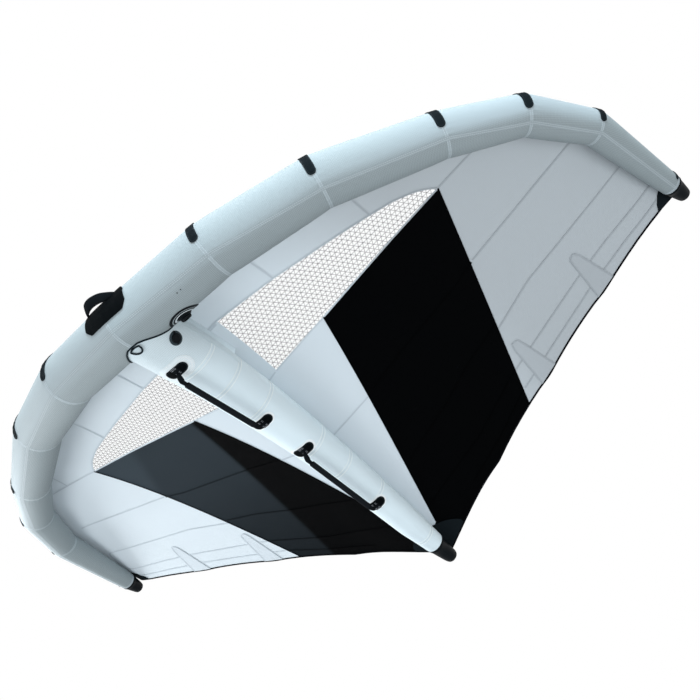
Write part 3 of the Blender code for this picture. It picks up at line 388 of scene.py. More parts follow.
for side, sign in SIDES:
    for k in range(0 if sign > 0 else 1, 7):
        radius = RING_RADIUS[k]
        inset = -0.006 if k == 6 else 0.0

        def round_ring(u, v):
            lean = -0.008 * (1 + math.cos(u / radius - math.radians(20))) if 0 < k < 6 else 0
            return le_place(sign * (REACHES[k] + lean + v * sign + inset) or 1e-6,
                            math.degrees(u / radius), 0.0004)
        tape(f"le_ring_seam_{side}_{k}", LE_SEAM, round_ring, 0, 2 * math.pi * radius, 0.013,
             ROUND, 0.0003)

    def low_line(u, v):
        degrees = value_at(REACHES, LOW_SEAM, u) + math.degrees(v * sign / le_radius(u))
        return le_place(sign * u, degrees, 0.0003)
    tape(f"le_low_seam_{side}", FAINT_SEAM, low_line, 0.001, REACHES[6] - 0.012, 0.014, 120,
         0.0002)


# Wear guards: stadium-shaped patches of coarse dark fabric over the seams at the front of the
# tube, sewn down round their edge with dark thread.
def coarse(name, slot, colour, thread, pitch=0.0024):
    """Heavy basket weave, with a little dust caught between the threads."""
    finish = Finish(name, colour, 0.85, slot, Specular_IOR_Level=0.03)
    u, v = finish.cloth()
    over = (u.wave(pitch) - 0.5) * (v.wave(pitch) - 0.5) * 4
    dust = finish.noise(30, 4.0)
    shade = finish.mix((over + 1) * 0.4 + dust * 0.2, tuple(c * 0.6 for c in colour), thread)
    finish.feed(Base_Color=shade, Roughness=0.78 + dust * 0.15)
    finish.bump(over + dust * 0.6, 0.0006)
    return finish


def stadium(half_length, half_width):
    """A flat strip with half-round ends, lying along Y."""
    bm = bmesh.new()
    bmesh.ops.create_circle(bm, cap_ends=True, segments=40, radius=half_width)
    for vert in bm.verts:
        if abs(vert.co.y) > half_width * 0.001:
            vert.co.y += math.copysign(half_length - half_width, vert.co.y)
    return bm


def crosscut(bm, pitch):
    """Cuts flat cloth along a square grid, so that it can bend."""
    for axis in (0, 1):
        low = min(vert.co[axis] for vert in bm.verts)
        high = max(vert.co[axis] for vert in bm.verts)
        normal = Vector((1 - axis, axis, 0))
        for i in range(math.floor(low / pitch) + 1, math.ceil(high / pitch)):
            bmesh.ops.bisect_plane(bm, geom=bm.verts[:] + bm.edges[:] + bm.faces[:],
                                   plane_co=normal * (i * pitch), plane_no=normal, dist=1e-6)
    return bm


def edge_stitches(name, half_length, half_width, surface, thread):
    """One row of thread round a strip with half-round ends."""
    bm = stadium(half_length, half_width)
    ring = bmesh.ops.inset_region(bm, faces=bm.faces, thickness=0.0014, use_boundary=True,
                                  use_even_offset=True)["faces"]
    bmesh.ops.delete(bm, geom=[face for face in bm.faces if face not in ring], context="FACES")
    sewn(name, lay(crosscut(bm, 0.008), surface), thread, thickness=0.0006, offset=0.0)


CHARCOAL = coarse("charcoal_weave", "charcoal_patch", (0.006, 0.0095, 0.012),
                  (0.015, 0.0215, 0.026))
THREAD = Finish("dark_thread", (0.02, 0.03, 0.035), 0.7, "charcoal_patch", Specular_IOR_Level=0.05)
THREAD.feed(Base_Color=THREAD.mix(THREAD.noise(420), (0.006, 0.009, 0.011), (0.03, 0.04, 0.046)))
# Each guard: its seam, lowest and highest degrees, half its width, and its place from the seam.
GUARDS = ((1, -37, 50, 0.0165, -0.014), (2, -46, 50, 0.0165, -0.014), (3, -47, 50, 0.0165, -0.014),
          (4, -47, 50, 0.0165, -0.014), (5, -44, 46, 0.013, -0.012), (6, -38, 40, 0.009, -0.02))
for side, sign in SIDES:
    for k, low, high, width, inset in GUARDS:
        radius = RING_RADIUS[k]
        half = math.radians(high - low) / 2 * radius
        middle = (high + low) / 2

        def guard_place(u, v, lift=0.0018):
            degrees = middle + math.degrees(v / radius)
            return le_place(sign * (REACHES[k] + inset + u), degrees, lift)

        def guard_thread(u, v):
            return guard_place(u, v, 0.0033)
        guard = lay(crosscut(stadium(half, width), 0.008), guard_place, flip=sign < 0)
        sewn(f"guard_{side}_{k}", guard, CHARCOAL, [f"abrasion_patch_{side}_{k}"] if k < 5 else (),
             thickness=0.0014)
        edge_stitches(f"guard_stitches_{side}_{k}", half - 0.003, width - 0.003, guard_thread,
                      THREAD)


# Tip caps: moulded black cups that close the ends of the tube. Each has a rolled rim, which sits
# on the casing, and tapers outwards from it.
def moulded(name, colour, roughness=0.42):
    """Plastic from a mould: a faint grain, and paler scuffs where it rubs."""
    finish = Finish(name, colour, roughness, "black_plastic", Specular_IOR_Level=0.1)
    grain = finish.noise(900)
    scuff = finish.noise(26, 5.0).smooth(0.6, 0.74)
    pale = tuple(min(1, c * 2 + 0.004) for c in colour)
    finish.feed(Base_Color=finish.mix(scuff * 0.5, colour, pale),
                Roughness=roughness + scuff * 0.25 + grain * 0.08)
    finish.bump(grain, 0.0002, 0.5)
    return finish


def moved(bm, matrix):
    bmesh.ops.transform(bm, verts=bm.verts, matrix=matrix)
    return bm


def turned(profile, matrix=Matrix.Identity(4), steps=48):
    """A round piece spun from a profile of (radius, height) points about a frame's Z."""
    bm = bmesh.new()
    verts = [bm.verts.new((radius, 0, height)) for radius, height in profile]
    edges = [bm.edges.new(pair) for pair in zip(verts, verts[1:])]
    bmesh.ops.spin(bm, geom=verts + edges, cent=(0, 0, 0), axis=(0, 0, 1), angle=2 * math.pi,
                   steps=steps, use_merge=True)
    bmesh.ops.remove_doubles(bm, verts=bm.verts, dist=0.00001)
    bmesh.ops.recalc_face_normals(bm, faces=bm.faces)
    return moved(bm, matrix)


def frame_of(place, x, y, z):
    return Matrix.Translation(place) @ Matrix((x, y, z)).transposed().to_4x4()


def frame_at(place, out, side):
    """A frame at a place, with Z along out and X as near to side as that allows."""
    out = Vector(out).normalized()
    across = out.cross(Vector(side)).normalized()
    return frame_of(place, across.cross(out), across, out)


BLACK_PLASTIC = moulded("black_plastic", (0.0026, 0.0044, 0.0058))
TIP_CAP = [(0, 0.0005), (0.03, 0.0005), (0.0418, 0.0008), (0.0438, 0.004), (0.0438, 0.01),
           (0.0412, 0.0125), (0.0385, 0.03), (0.0345, 0.055), (0.0305, 0.08), (0.0275, 0.092),
           (0.0235, 0.0965), (0.015, 0.0975), (0, 0.0978)]
for side, sign in SIDES:
    cap = turned(TIP_CAP, frame_at(SPINE[6], RUNS[5], UP))
    if sign < 0:
        moved(cap, Matrix.Diagonal((-1, 1, 1, 1)))
        bmesh.ops.reverse_faces(cap, faces=cap.faces)
    sewn(f"tip_cap_moulded_{side}", cap, BLACK_PLASTIC, [f"tip_cap_{side}"])


# Canopy: one sheet of coated ripstop a side, drawn tight from the tube to the trailing edge. It
# is pieced from light panels, a clear window with a net of threads, and one dark panel.
HALF_SPAN, CHORD = 1.7, 1.866
BACK_Y = [CHORD * share for share in (1, 0.926, 0.848, 0.779, 0.743, 0.722, 0.725)]
BACK_Z = (0.02, 0.1549, 0.2852, 0.3951, 0.4598, 0.5081, 0.5585)
CAMBER = (0.054, 0.059, 0.053, 0.047, 0.044, 0.041, 0.04)
FRONT = [SPINE[k] + ring_offset(k, 90, RING_RADIUS[k] + 0.0013) for k in range(7)]
STATIONS = [place.x for place in FRONT]


def straight(values, x):
    """Between stations in straight lines, as the cloth is held by the tube."""
    return value_at(STATIONS, values, x)


def curved(values, x):
    """Between stations in a smooth curve, as the free cloth runs."""
    k, t = between(STATIONS, x)
    step = STATIONS[k + 1] - STATIONS[k]
    slopes = []
    for i in (k, k + 1):
        low, high = max(i - 1, 0), min(i + 1, 6)
        slopes.append((values[high] - values[low]) / (STATIONS[high] - STATIONS[low]) * step)
    if k == 0:
        slopes[0] *= 0.5
    return (values[k] * (2 * t ** 3 - 3 * t ** 2 + 1) + slopes[0] * (t ** 3 - 2 * t ** 2 + t)
            + values[k + 1] * (3 * t ** 2 - 2 * t ** 3) + slopes[1] * (t ** 3 - t ** 2))


def chord_line(x):
    front = straight([place.y for place in FRONT], x)
    return front, straight(BACK_Y, x)


# The battens hold the trailing edge out at these places, and it is hollow between them.
EDGE_X = (0, 0.437, 0.85, 1.245, STATIONS[6])
EDGE_OUT = (0, -0.004, 0.003, 0.005, 0.003)
HOLLOWS = (0.018, 0.012, 0.011, 0.01)


def edge_y(x):
    k, share = between(EDGE_X, x)
    hollow = HOLLOWS[k] * 4 * share * (1 - share)
    return straight(BACK_Y, x) + value_at(EDGE_X, EDGE_OUT, x) - hollow


def canopy_height(x, y):
    x = min(abs(x), STATIONS[6])
    front, back = chord_line(x)
    share = min(max((y - front) / (back - front), 0), 1)
    low = straight([place.z for place in FRONT], x)
    flat = share * share * (3 - 2 * share)
    rise = curved(BACK_Z, x) * flat + straight(BACK_Z, x) * (1 - flat)
    camber = curved(CAMBER, x) * (back - front) * math.sin(math.pi * share ** 0.757)
    return low + (rise - low) * share + camber


def canopy_place(sign, lift):
    def place(x, y):
        return Vector((sign * x, y, canopy_height(x, y) + lift))
    return place


def plan(span, chord):
    x = HALF_SPAN * span
    front, back = chord_line(x)
    return Vector((x, front + (back - front) * chord, 0))


def plans(*places):
    return [plan(*place) for place in places]


def ripstop(name, slot, colour, pale, glow, gloss, lit):
    """Thin coated cloth with a square net of stronger threads. Its colour turns cloudily from its
    own to the pale one where lit(x, y) says: painted light, for the sky shining through the light
    cloth and a sheen on the dark cloth."""
    finish = Finish(name, colour, 0.5, slot, Specular_IOR_Level=gloss)
    u, v = finish.cloth()
    net = u.lines(0.0062, 0.0008).maths("MAXIMUM", v.lines(0.0062, 0.0008))
    cloud = finish.noise(1.3, 3.0)
    lit_share = lit(*finish.apart(finish.place())[:2])
    # Painted light: the lit share turns the cloth to the pale colour, in cloudy patches.
    base = finish.mix((lit_share * ((cloud - 0.5) * 0.4 + 1)).clamp(), colour, pale)
    finish.feed(Base_Color=finish.mix(net * 0.18, base, glow), Roughness=0.36 + cloud * 0.12)
    finish.bump(net * 0.4 + finish.noise(5.0, 3.0) * 4.0, 0.0005)
    return finish


def painted_light_share(x, y):
    """Painted light: the light cloth is painted palest near the strut and on the left side."""
    return x.smooth(0.95, 0.3)


def painted_sheen_share(x, y):
    """Painted sheen: the dark cloth has a dull painted sheen in two bands on the left side, which
    fades to the tail.
    """
    first = (x + y * 0.119 + 0.323) * -1
    second = (x + y * 0.52 + 0.46) * -1
    fade = 1 - y.smooth(0.55, 1.75) * 0.72
    return first.smooth(0.0, 0.03) * (second.smooth(-0.02, 0.06) * 0.3 + 0.7) * fade


# The light cloth's pale colour is painted light, palest near the strut and on the left side.
LIGHT_CLOTH = ripstop("light_ripstop", "canopy_grey", (0.43, 0.462, 0.485), (0.66, 0.725, 0.77),
                      (0.6, 0.66, 0.7), 0.2, painted_light_share)
# The dark cloth's pale colour is a painted sheen in bands on the left side.
DARK_CLOTH = ripstop("dark_ripstop", "canopy_dark", (0.0003, 0.0004, 0.0006), (0.04, 0.053, 0.064),
                     (0.006, 0.008, 0.0096), 0.02, painted_sheen_share)
WINDOW = Finish("window_film", (0.93, 0.94, 0.95), 0.16, "window_film", Specular_IOR_Level=0.4)
u, v = WINDOW.cloth()
threads = None
for degrees in (30, 90, 150):
    turn = math.radians(degrees)
    line = (u * math.cos(turn) + v * math.sin(turn) + 3).lines(0.0185, 0.0015)
    threads = line if threads is None else threads.maths("MAXIMUM", line)
WINDOW.feed(Base_Color=WINDOW.mix(threads, (0.97, 0.97, 0.97), (0.1, 0.09, 0.09)),
            Alpha=0.12 + threads * 0.62, Roughness=0.16 + threads * 0.5)
WINDOW.bump(threads, 0.0005)

CENTRE_SEAM = plans((0, 0.162), (0.071, 0.161))
WINDOW_FRONT = plans((0.071, 0.161), (0.15, 0.173), (0.229, 0.186), (0.398, 0.201), (0.526, 0.204),
                     (0.572, 0.209), (0.598, 0.221), (0.615, 0.239))
WINDOW_BACK = plans((0.615, 0.239), (0.228, 0.35), (0.06, 0.348))
NOSE_SEAM = plans((0.615, 0.239), (0.728, 0.158), (0.805, 0.065), (0.83, 0))
DARK_INNER = plans((0.228, 0.35), (0.035, 0.918), (0, 0.926))
DARK_OUTER = plans((0.615, 0.239), (0.412, 1.0))
CROSS = [DARK_OUTER[0].lerp(DARK_OUTER[1], 0.63),
         *plans((0.618, 0.718), (0.947, 0.47), (1.0, 0.437))]
FRONT_EDGE = [Vector((x, chord_line(x)[0], 0)) for x in STATIONS]
DARK_OUTER[1].y = edge_y(DARK_OUTER[1].x)
BACK_EDGE = [EDGE_X[k] + (EDGE_X[k + 1] - EDGE_X[k]) * i / 6 for k in range(4) for i in range(6)]
BACK_EDGE = [Vector((x, edge_y(x), 0)) for x in BACK_EDGE + [STATIONS[6]]]
middle_front = Vector((0, CENTRE_SEAM[0].y, 0))
middle_back = Vector((0, DARK_INNER[2].y, 0))
PANELS = {
    "front_strip": (LIGHT_CLOTH, FRONT_EDGE[:4] + [NOSE_SEAM[3]] + NOSE_SEAM[2::-1]
                    + WINDOW_FRONT[-2::-1] + [middle_front]),
    "window": (WINDOW, WINDOW_FRONT + WINDOW_BACK[1:]),
    "centre": (LIGHT_CLOTH, [middle_front, CENTRE_SEAM[1], WINDOW_BACK[2], WINDOW_BACK[1],
                             DARK_INNER[1], middle_back]),
    "dark_panel": (DARK_CLOTH, [middle_back, DARK_INNER[1], DARK_INNER[0], DARK_OUTER[0], CROSS[0],
                                DARK_OUTER[1]]
                   + [p for p in BACK_EDGE[::-1] if p.x < DARK_OUTER[1].x]),
    "outer_front": (LIGHT_CLOTH, NOSE_SEAM + FRONT_EDGE[4:] + CROSS[:0:-1] + [CROSS[0]]),
    "outer_rear": (LIGHT_CLOTH, CROSS + [p for p in BACK_EDGE[::-1] if p.x > DARK_OUTER[1].x]
                   + [DARK_OUTER[1]]),
}


def inside(outline, place):
    crossings = 0
    for a, b in zip(outline, outline[1:] + outline[:1]):
        if (a.y > place.y) != (b.y > place.y):
            crossings += place.x < a.x + (place.y - a.y) / (b.y - a.y) * (b.x - a.x)
    return crossings % 2 == 1


def square_to(a, b):
    """The direction in plan that is square to the line from a to b."""
    return Vector((a.y - b.y, b.x - a.x, 0)).normalized()


def cut_out(outline, pitch):
    """Cloth with a square net, cut along an outline; the net is the same on every panel."""
    low = [math.floor(min(p[axis] for p in outline) / pitch) for axis in (0, 1)]
    high = [math.ceil(max(p[axis] for p in outline) / pitch) for axis in (0, 1)]
    bm = grid((low[0] * pitch, low[1] * pitch), (high[0] * pitch, high[1] * pitch),
              high[0] - low[0], high[1] - low[1])
    for a, b in zip(outline, outline[1:] + outline[:1]):
        run = b - a
        if run.length > 0.0005:
            near = [face for face in bm.faces
                    if min((v.co - a).dot(run) for v in face.verts) < run.length_squared * 1.001
                    and max((v.co - a).dot(run) for v in face.verts) > run.length_squared * -0.001]
            edges = {edge for face in near for edge in face.edges}
            verts = {vert for face in near for vert in face.verts}
            bmesh.ops.bisect_plane(bm, geom=list(verts) + list(edges) + near, plane_co=a,
                                   plane_no=square_to(a, b), dist=1e-5)
    outside = [face for face in bm.faces if not inside(outline, face.calc_center_median())]
    bmesh.ops.delete(bm, geom=outside, context="FACES")
    return bm


for side, sign in SIDES:
    for name, (material, outline) in PANELS.items():
        panel_bm = lay(cut_out(outline, 0.036), canopy_place(sign, 0.0), flip=sign < 0)
        area = sum(face.calc_area() for face in panel_bm.faces)
        low, high = [Vector(map(pick, zip(*[p[:2] for p in outline]))) for pick in (min, max)]
        panel = sewn(f"canopy_{name}_cloth_{side}", panel_bm, material, [f"canopy_{name}_{side}"],
                     thickness=0.0009, offset=0.0)


# Strut: a tapering tube of the same woven casing, sewn to the canopy along its top and closed by a
# moulded cup. Its lengths are joined by round seams, and two fairing strips close the corner
# behind the leading edge.
STRUT_ROWS = [CHORD * share for share in (0, 0.145, 0.327, 0.488, 0.665, 0.836, 0.929)]
STRUT_RADII = [0.113 * share for share in (1, 0.982, 0.872, 0.752, 0.646, 0.535, 0.407)]
STRUT_SEAMS = (0.29, 0.445, 0.62, 0.93, 1.101, 1.31, 1.655)
STRUT_PUFF = 0.0012
STRUT_SEAM = stitched("strut_seam", "strut_dacron", (0.71, 0.82, 0.87), (0.93, 1.0, 1.0), 0.004,
                      0.0072, 0.0024)
# Its shaded colour is painted shade, darker towards the front of the strut.
STRUT_DACRON = dacron("strut_dacron", "strut_dacron", (0.73, 0.84, 0.89), (0.44, 0.5, 0.52))
WELT_CHORDS = (0.036, 0.0395, 0.052, 0.07, 0.088, 0.102, 0.113, 0.122)


def strut_section(y):
    """Height of the axis and radius at a place along the chord."""
    radius = min(value_at(STRUT_ROWS, STRUT_RADII, y), STRUT_RADII[0])
    return canopy_height(0, y) - 0.0015 - radius, radius


def strut_place(y, degrees, lift=0.0):
    """A place on the strut; degrees run from +X, and -90 is straight below."""
    height, radius = strut_section(y)
    seam = min(abs(y - s) for s in STRUT_SEAMS)
    reach = radius + lift + STRUT_PUFF * (1 - math.exp(-seam / 0.02))
    angle = math.radians(degrees)
    top = max(0.0, math.sin(angle)) ** 8 * (lift + STRUT_PUFF)
    return Vector((reach * math.cos(angle), y, height + reach * math.sin(angle) - top))


def clear_of_tube(point, clearance):
    """Moves a point straight out of the leading edge tube, where it is inside it."""
    run = Vector((math.copysign(RUNS[0].x, point.x or 1), RUNS[0].y, RUNS[0].z))
    away = point - run * point.dot(run)
    short = RING_RADIUS[0] + PUFF + clearance - away.length
    return point + away.normalized() * short if short > 0 else point


def welt_chord(degrees):
    """Where the strut meets the tube, by degrees from straight below."""
    step = min(abs(degrees) / 12, 6.999)
    k = int(step)
    return WELT_CHORDS[k] + (WELT_CHORDS[k + 1] - WELT_CHORDS[k]) * (step - k)


for name, start, end in (("front", 0.0504, 0.6195), ("middle", 0.6195, 1.101),
                         ("rear", 1.101, 1.7335)):
    strut_bm = grid((start, -270), (end, 90), 26, 72)
    for vert in strut_bm.verts if name == "front" else ():
        edge = welt_chord(min(abs(vert.co.y + 90), 96)) - 0.004
        vert.co.x = edge + (vert.co.x - start) / (end - start) * (end - edge)

    def strut_skin(y, degrees):
        place = strut_place(y, degrees)
        return clear_of_tube(place, 0.0) if y < 0.16 and abs(degrees + 90) < 100 else place

    def strut_cloth(flat):
        return flat.x, math.radians(flat.y) * strut_section(flat.x)[1]
    lay(strut_bm, strut_skin, cloth=strut_cloth)
    bmesh.ops.remove_doubles(strut_bm, verts=strut_bm.verts, dist=0.0001)
    sewn(f"strut_skin_{name}", strut_bm, STRUT_DACRON, [f"strut_casing_{name}"], thickness=0.0012,
         offset=-1.0)

for number, y in enumerate(STRUT_SEAMS, 1):
    radius = strut_section(y)[1]
    lean = 0.015 if number == 1 else 0.0

    def round_strut(u, v):
        return strut_place(y + v + lean * math.cos(u / radius), math.degrees(u / radius), 0.0006)
    tape(f"strut_ring_seam_{number}", STRUT_SEAM, round_strut, math.radians(-248) * radius,
         math.radians(68) * radius, 0.019, 84, 0.0007)

for side, sign in SIDES:
    def fairing_place(u, v):
        """Half of the strip lies on the strut, and half runs straight from it to the canopy."""
        height, radius = strut_section(u)
        angle = math.radians(min(v, 0.5) * 2 * 48)
        reach = radius + 0.0024
        place = Vector((reach * math.cos(angle), u, height + reach * math.sin(angle)))
        top = Vector((0.073, u, canopy_height(0.073, u) - 0.0022))
        place = place.lerp(top, max(v - 0.5, 0) * 2)
        return Vector((sign * place.x, place.y, place.z))
    fairing = lay(grid((0.135, 0), (0.444, 1), 20, 12), fairing_place, flip=sign > 0)
    sewn(f"fairing_cloth_{side}", fairing, STRUT_DACRON, [f"strut_fairing_{side}"],
         thickness=0.0012, offset=0.0)

STRUT_CUP = [(0, 0.0), (0.034, 0.0), (0.0405, 0.0012), (0.0425, 0.005), (0.0425, 0.014),
             (0.0405, 0.018), (0.0375, 0.06), (0.034, 0.105), (0.0315, 0.122), (0.0285, 0.1305),
             (0.024, 0.1322), (0, 0.1322)]
end_place = Vector((0, 1.7338, -0.0107))
end_out = Vector((0, CHORD, -0.0113)) - end_place
sewn("strut_end_cap_moulded", turned(STRUT_CUP, frame_at(end_place, end_out, (1, 0, 0))),
     BLACK_PLASTIC, ["strut_end_cap"])


# Piping: a thin black welt, woven cloth over a cord, sewn into the corner where the strut meets
# the leading edge.
def cordlike(name, points, radius, replaces, body="wing", closed=False, slot=None):
    """A round black cord on a smooth curve through points."""
    curve = bpy.data.curves.new(name, "CURVE")
    curve.dimensions = "3D"
    curve.bevel_depth = radius
    curve.bevel_resolution = 5
    curve.use_fill_caps = True
    spline = curve.splines.new("BEZIER")
    spline.bezier_points.add(len(points) - 1)
    for point, place in zip(spline.bezier_points, points):
        point.co = place
        point.handle_left_type = point.handle_right_type = "AUTO"
    spline.use_cyclic_u = closed
    spline.resolution_u = 5
    source = bpy.data.objects.new(name, curve)
    scene.collection.objects.link(source)
    graph = bpy.context.evaluated_depsgraph_get()
    made = bpy.data.meshes.new_from_object(source.evaluated_get(graph))
    bpy.data.objects.remove(source)
    bm = bmesh.new()
    bm.from_mesh(made)
    return sewn(name, bm, BLACK_CORD, replaces, body, slot=slot)


BLACK_CORD = coarse("black_cord", "black_trim", (0.01, 0.011, 0.013), (0.03, 0.032, 0.036), 0.0016)
BLACK_CORD.feed(Base_Color=BLACK_CORD.mix(BLACK_CORD.noise(300), (0.006, 0.01, 0.013),
                                          (0.024, 0.034, 0.04)))
corner = [clear_of_tube(strut_place(welt_chord(degrees), degrees - 90, 0.002), 0.0014)
          for degrees in range(-84, 85, 6)]
cordlike("junction_welt", corner, 0.0034, ["junction_piping"])


# Seams of the canopy: overlapped and stitched, with the fold on the underside. Battens lie in
# long rounded pockets at the trailing edge, which is bound with black tape, and dark patches back
# the corners at the tail and the tips.
# The seam's pale colour is painted light, as on the light cloth.
SEAM = ripstop("canopy_seam", "canopy_grey", (0.352, 0.38, 0.402), (0.55, 0.61, 0.655),
               (0.47, 0.51, 0.54), 0.1, painted_light_share)
# The dark seam's pale colour is the painted sheen of the dark cloth.
DARK_SEAM = ripstop("dark_seam", "canopy_dark", (0.0004, 0.0005, 0.0007), (0.02, 0.0265, 0.032),
                    (0.002, 0.0026, 0.0032), 0.02, painted_sheen_share)
BINDING = coarse("edge_binding", "black_trim", (0.002, 0.0025, 0.0032), (0.007, 0.008, 0.01),
                 0.0018)
# The pocket's pale colour is painted light, as on the light cloth.
POCKET = ripstop("batten_pocket", "canopy_grey", (0.402, 0.432, 0.455), (0.615, 0.676, 0.722),
                 (0.53, 0.58, 0.62), 0.1, painted_light_share)


def along(points):
    """Walks a line of plan points: gives the place and the direction across it at a distance."""
    lengths = [(b - a).length for a, b in zip(points, points[1:])]
    sides = [square_to(a, b) for a, b in zip(points, points[1:])]
    joints = [sides[0]] + [(a + b).normalized() for a, b in zip(sides, sides[1:])] + [sides[-1]]

    def walk(distance):
        k = 0
        while k < len(lengths) - 1 and distance > lengths[k]:
            distance -= lengths[k]
            k += 1
        share = min(max(distance / lengths[k], 0), 1)
        return points[k].lerp(points[k + 1], share), joints[k].lerp(joints[k + 1], share)
    return walk, sum(lengths)


def canopy_seam(name, sign, points, material, width=0.007, lift=-0.0021, thickness=0.0005,
                replaces=()):
    walk, length = along([Vector((p[0], p[1], 0)) for p in points])
    under = canopy_place(sign, lift)

    def surface(u, v):
        place, across = walk(u)
        place = place + across * v
        return under(place.x, place.y)
    bm = grid((0, -width / 2), (length, width / 2), max(4, int(length / 0.03)), 2)
    sewn(name, lay(bm, surface, out=-UP), material, replaces, thickness=thickness)


def canopy_patch(name, sign, outline, pitch, lift, material, thickness, replaces=()):
    patch = lay(cut_out(outline, pitch), canopy_place(sign, lift), out=-UP)
    sewn(name, patch, material, replaces, thickness=thickness)


def edge_points(stations, inset):
    """Plan points beside the trailing edge."""
    return [Vector((x, edge_y(x) - inset, 0)) for x in stations]


def across_strip(x):
    """A seam from the tube to the window, along the chord."""
    front = chord_line(x)[0]
    y = next(a.y + (b.y - a.y) * (x - a.x) / (b.x - a.x)
             for a, b in zip(WINDOW_FRONT, WINDOW_FRONT[1:]) if a.x <= x <= b.x)
    return [(x, front + 0.02), (x, y)]


LIGHT_SEAMS = {
    "nose_1": across_strip(0.385), "nose_2": across_strip(0.8),
    "nose_3": [(1.215, chord_line(1.215)[0] + 0.02), tuple(NOSE_SEAM[1][:2])],
    "window_front": WINDOW_FRONT, "window_back": WINDOW_BACK, "corner": NOSE_SEAM,
    "centre_front": CENTRE_SEAM, "centre_1": [(0.044, 0.311), (0.11, 0.311)],
    "centre_2": [(0.048, 0.652), (0.093, 0.644)], "centre_3": [(0.044, 1.041), (0.262, 1.0275)],
    "outer_1": [(0.948, 0.9115), (1.516, 0.83)], "outer_2": CROSS,
    "outer_3": [(0.762, 1.4295), (0.858, 1.403), (1.208, 1.306), (1.379, 1.269), (1.642, 1.23)],
    "outer_4": [(0.74, 1.527), (0.878, 1.4855), (1.201, 1.388), (1.437, 1.333), (1.655, 1.295)],
}
DARK_SEAMS = {
    "inner": DARK_INNER[:2], "outer": DARK_OUTER,
    "1": [(0.938, 0.915), (0.838, 0.945), (0.441, 0.995), (0.283, 1.024)],
    "2": [(0.828, 1.206), (0.654, 1.246), (0.453, 1.318), (0.175, 1.385)],
    "3": [(0.749, 1.433), (0.456, 1.5465), (0.1, 1.61)],
    "4": [(0.727, 1.531), (0.524, 1.619), (0.3, 1.69)],
}
EDGE_LINE = edge_points([0.014] + [p.x for p in BACK_EDGE if 0.02 < p.x < 1.67] + [1.678], 0.002)
TAIL_RADIUS, POCKET_RADIUS = 0.17, 0.019
TIP_CORNER = [Vector((x, y, 0)) for x, y in ((1.694, 1.262), (1.664, 1.272), (1.635, 1.29),
                                             (1.613, 1.318))]
for side, sign in SIDES:
    for name, points in LIGHT_SEAMS.items():
        canopy_seam(f"seam_{name}_{side}", sign, points, SEAM)
    for name, points in DARK_SEAMS.items():
        canopy_seam(f"dark_seam_{name}_{side}", sign, points, DARK_SEAM, lift=-0.0023)
    canopy_seam(f"edge_tape_{side}", sign, EDGE_LINE, BINDING, 0.0085, 0.0024, 0.0048,
                [f"trailing_edge_binding_{side}"])
    for number, (x, y, first, second) in enumerate(((1.24, 1.208, 1.308, 1.2135),
                                                    (0.837, 1.321, 0.8966, 0.8051)), 1):
        nose = Vector((x, y, 0))
        ends = edge_points((first, second), 0.005)
        run = ((ends[0] + ends[1]) / 2 - nose).normalized()
        cross = Vector((-run.y, run.x, 0))
        middle = nose + run * POCKET_RADIUS
        arc = [middle + (cross * math.cos(a) - run * math.sin(a)) * POCKET_RADIUS
               for a in [math.pi * i / 8 for i in range(9)]]
        ends.sort(key=cross.dot)
        canopy_patch(f"batten_pocket_{side}_{number}", sign, arc + ends, 0.03, -0.0024, POCKET,
                     0.0006)
        canopy_seam(f"batten_stitch_{side}_{number}", sign, [ends[1], *arc, ends[0]], SEAM, 0.006,
                    -0.0033)
    arc = [Vector((max(TAIL_RADIUS * math.sin(a), 0.014), CHORD - TAIL_RADIUS * math.cos(a), 0))
           for a in [math.pi / 2 * i / 16 for i in range(16)]]
    arc = [place for place in arc if place.y < edge_y(place.x) - 0.009]
    arc += edge_points((arc[-1].x, 0.11, 0.06, 0.014), 0.007)
    canopy_patch(f"tail_corner_{side}", sign, arc, 0.03, -0.0028, CHARCOAL, 0.0008,
                 [f"tail_patch_{side}"])
    canopy_patch(f"tip_corner_{side}", sign, edge_points((1.603, 1.64, 1.688), 0.001) + TIP_CORNER,
                 0.02, -0.0028, CHARCOAL, 0.001)


# Nose pad and carrying loop: a stiff dark pad glued round the nose, and a padded webbing loop
# stitched to it, by which the wing is carried and flown in neutral.
WEBBING = coarse("black_webbing", "black_webbing", (0.0026, 0.0036, 0.005), (0.011, 0.0145, 0.018),
                 0.003)
BLACK_WEAVE = coarse("black_weave", "charcoal_patch", (0.001, 0.0016, 0.0021),
                     (0.0042, 0.006, 0.0074))


def rounded(corners, radius, steps=6):
    """A convex outline with round corners."""
    outline = []
    for a, b, c in zip(corners[-1:] + corners[:-1], corners, corners[1:] + corners[:1]):
        first, second = (a - b).normalized(), (c - b).normalized()
        half = math.acos(max(-1, min(1, first.dot(second)))) / 2
        centre = b + (first + second).normalized() * radius / math.sin(half)
        start = b + first * radius / math.tan(half) - centre
        end = b + second * radius / math.tan(half) - centre
        outline += [centre + start.slerp(end, i / steps) * radius for i in range(steps + 1)]
    return outline


def pad_place(u, v):
    return le_place(u or 1e-6, -8 + math.degrees(v / RING_RADIUS[0]), 0.0016)


pad_corners = [Vector(p) for p in ((-0.078, -0.066, 0), (0.078, -0.066, 0), (0.1, -0.042, 0),
                                   (0.098, 0.016, 0), (0.072, 0.06, 0), (-0.072, 0.06, 0),
                                   (-0.098, 0.016, 0), (-0.1, -0.042, 0))]
pad = lay(cut_out(rounded(pad_corners, 0.01), 0.008), pad_place)
sewn("nose_pad", pad, BLACK_WEAVE, ["neutral_handle_pad"], thickness=0.0026, rounding=0.0008)


def shut(bm, gap):
    """Merges what meets, and closes the open ends."""
    bmesh.ops.remove_doubles(bm, verts=bm.verts, dist=gap)
    bmesh.ops.holes_fill(bm, edges=[edge for edge in bm.edges if edge.is_boundary])
    bmesh.ops.recalc_face_normals(bm, faces=bm.faces)
    return bm


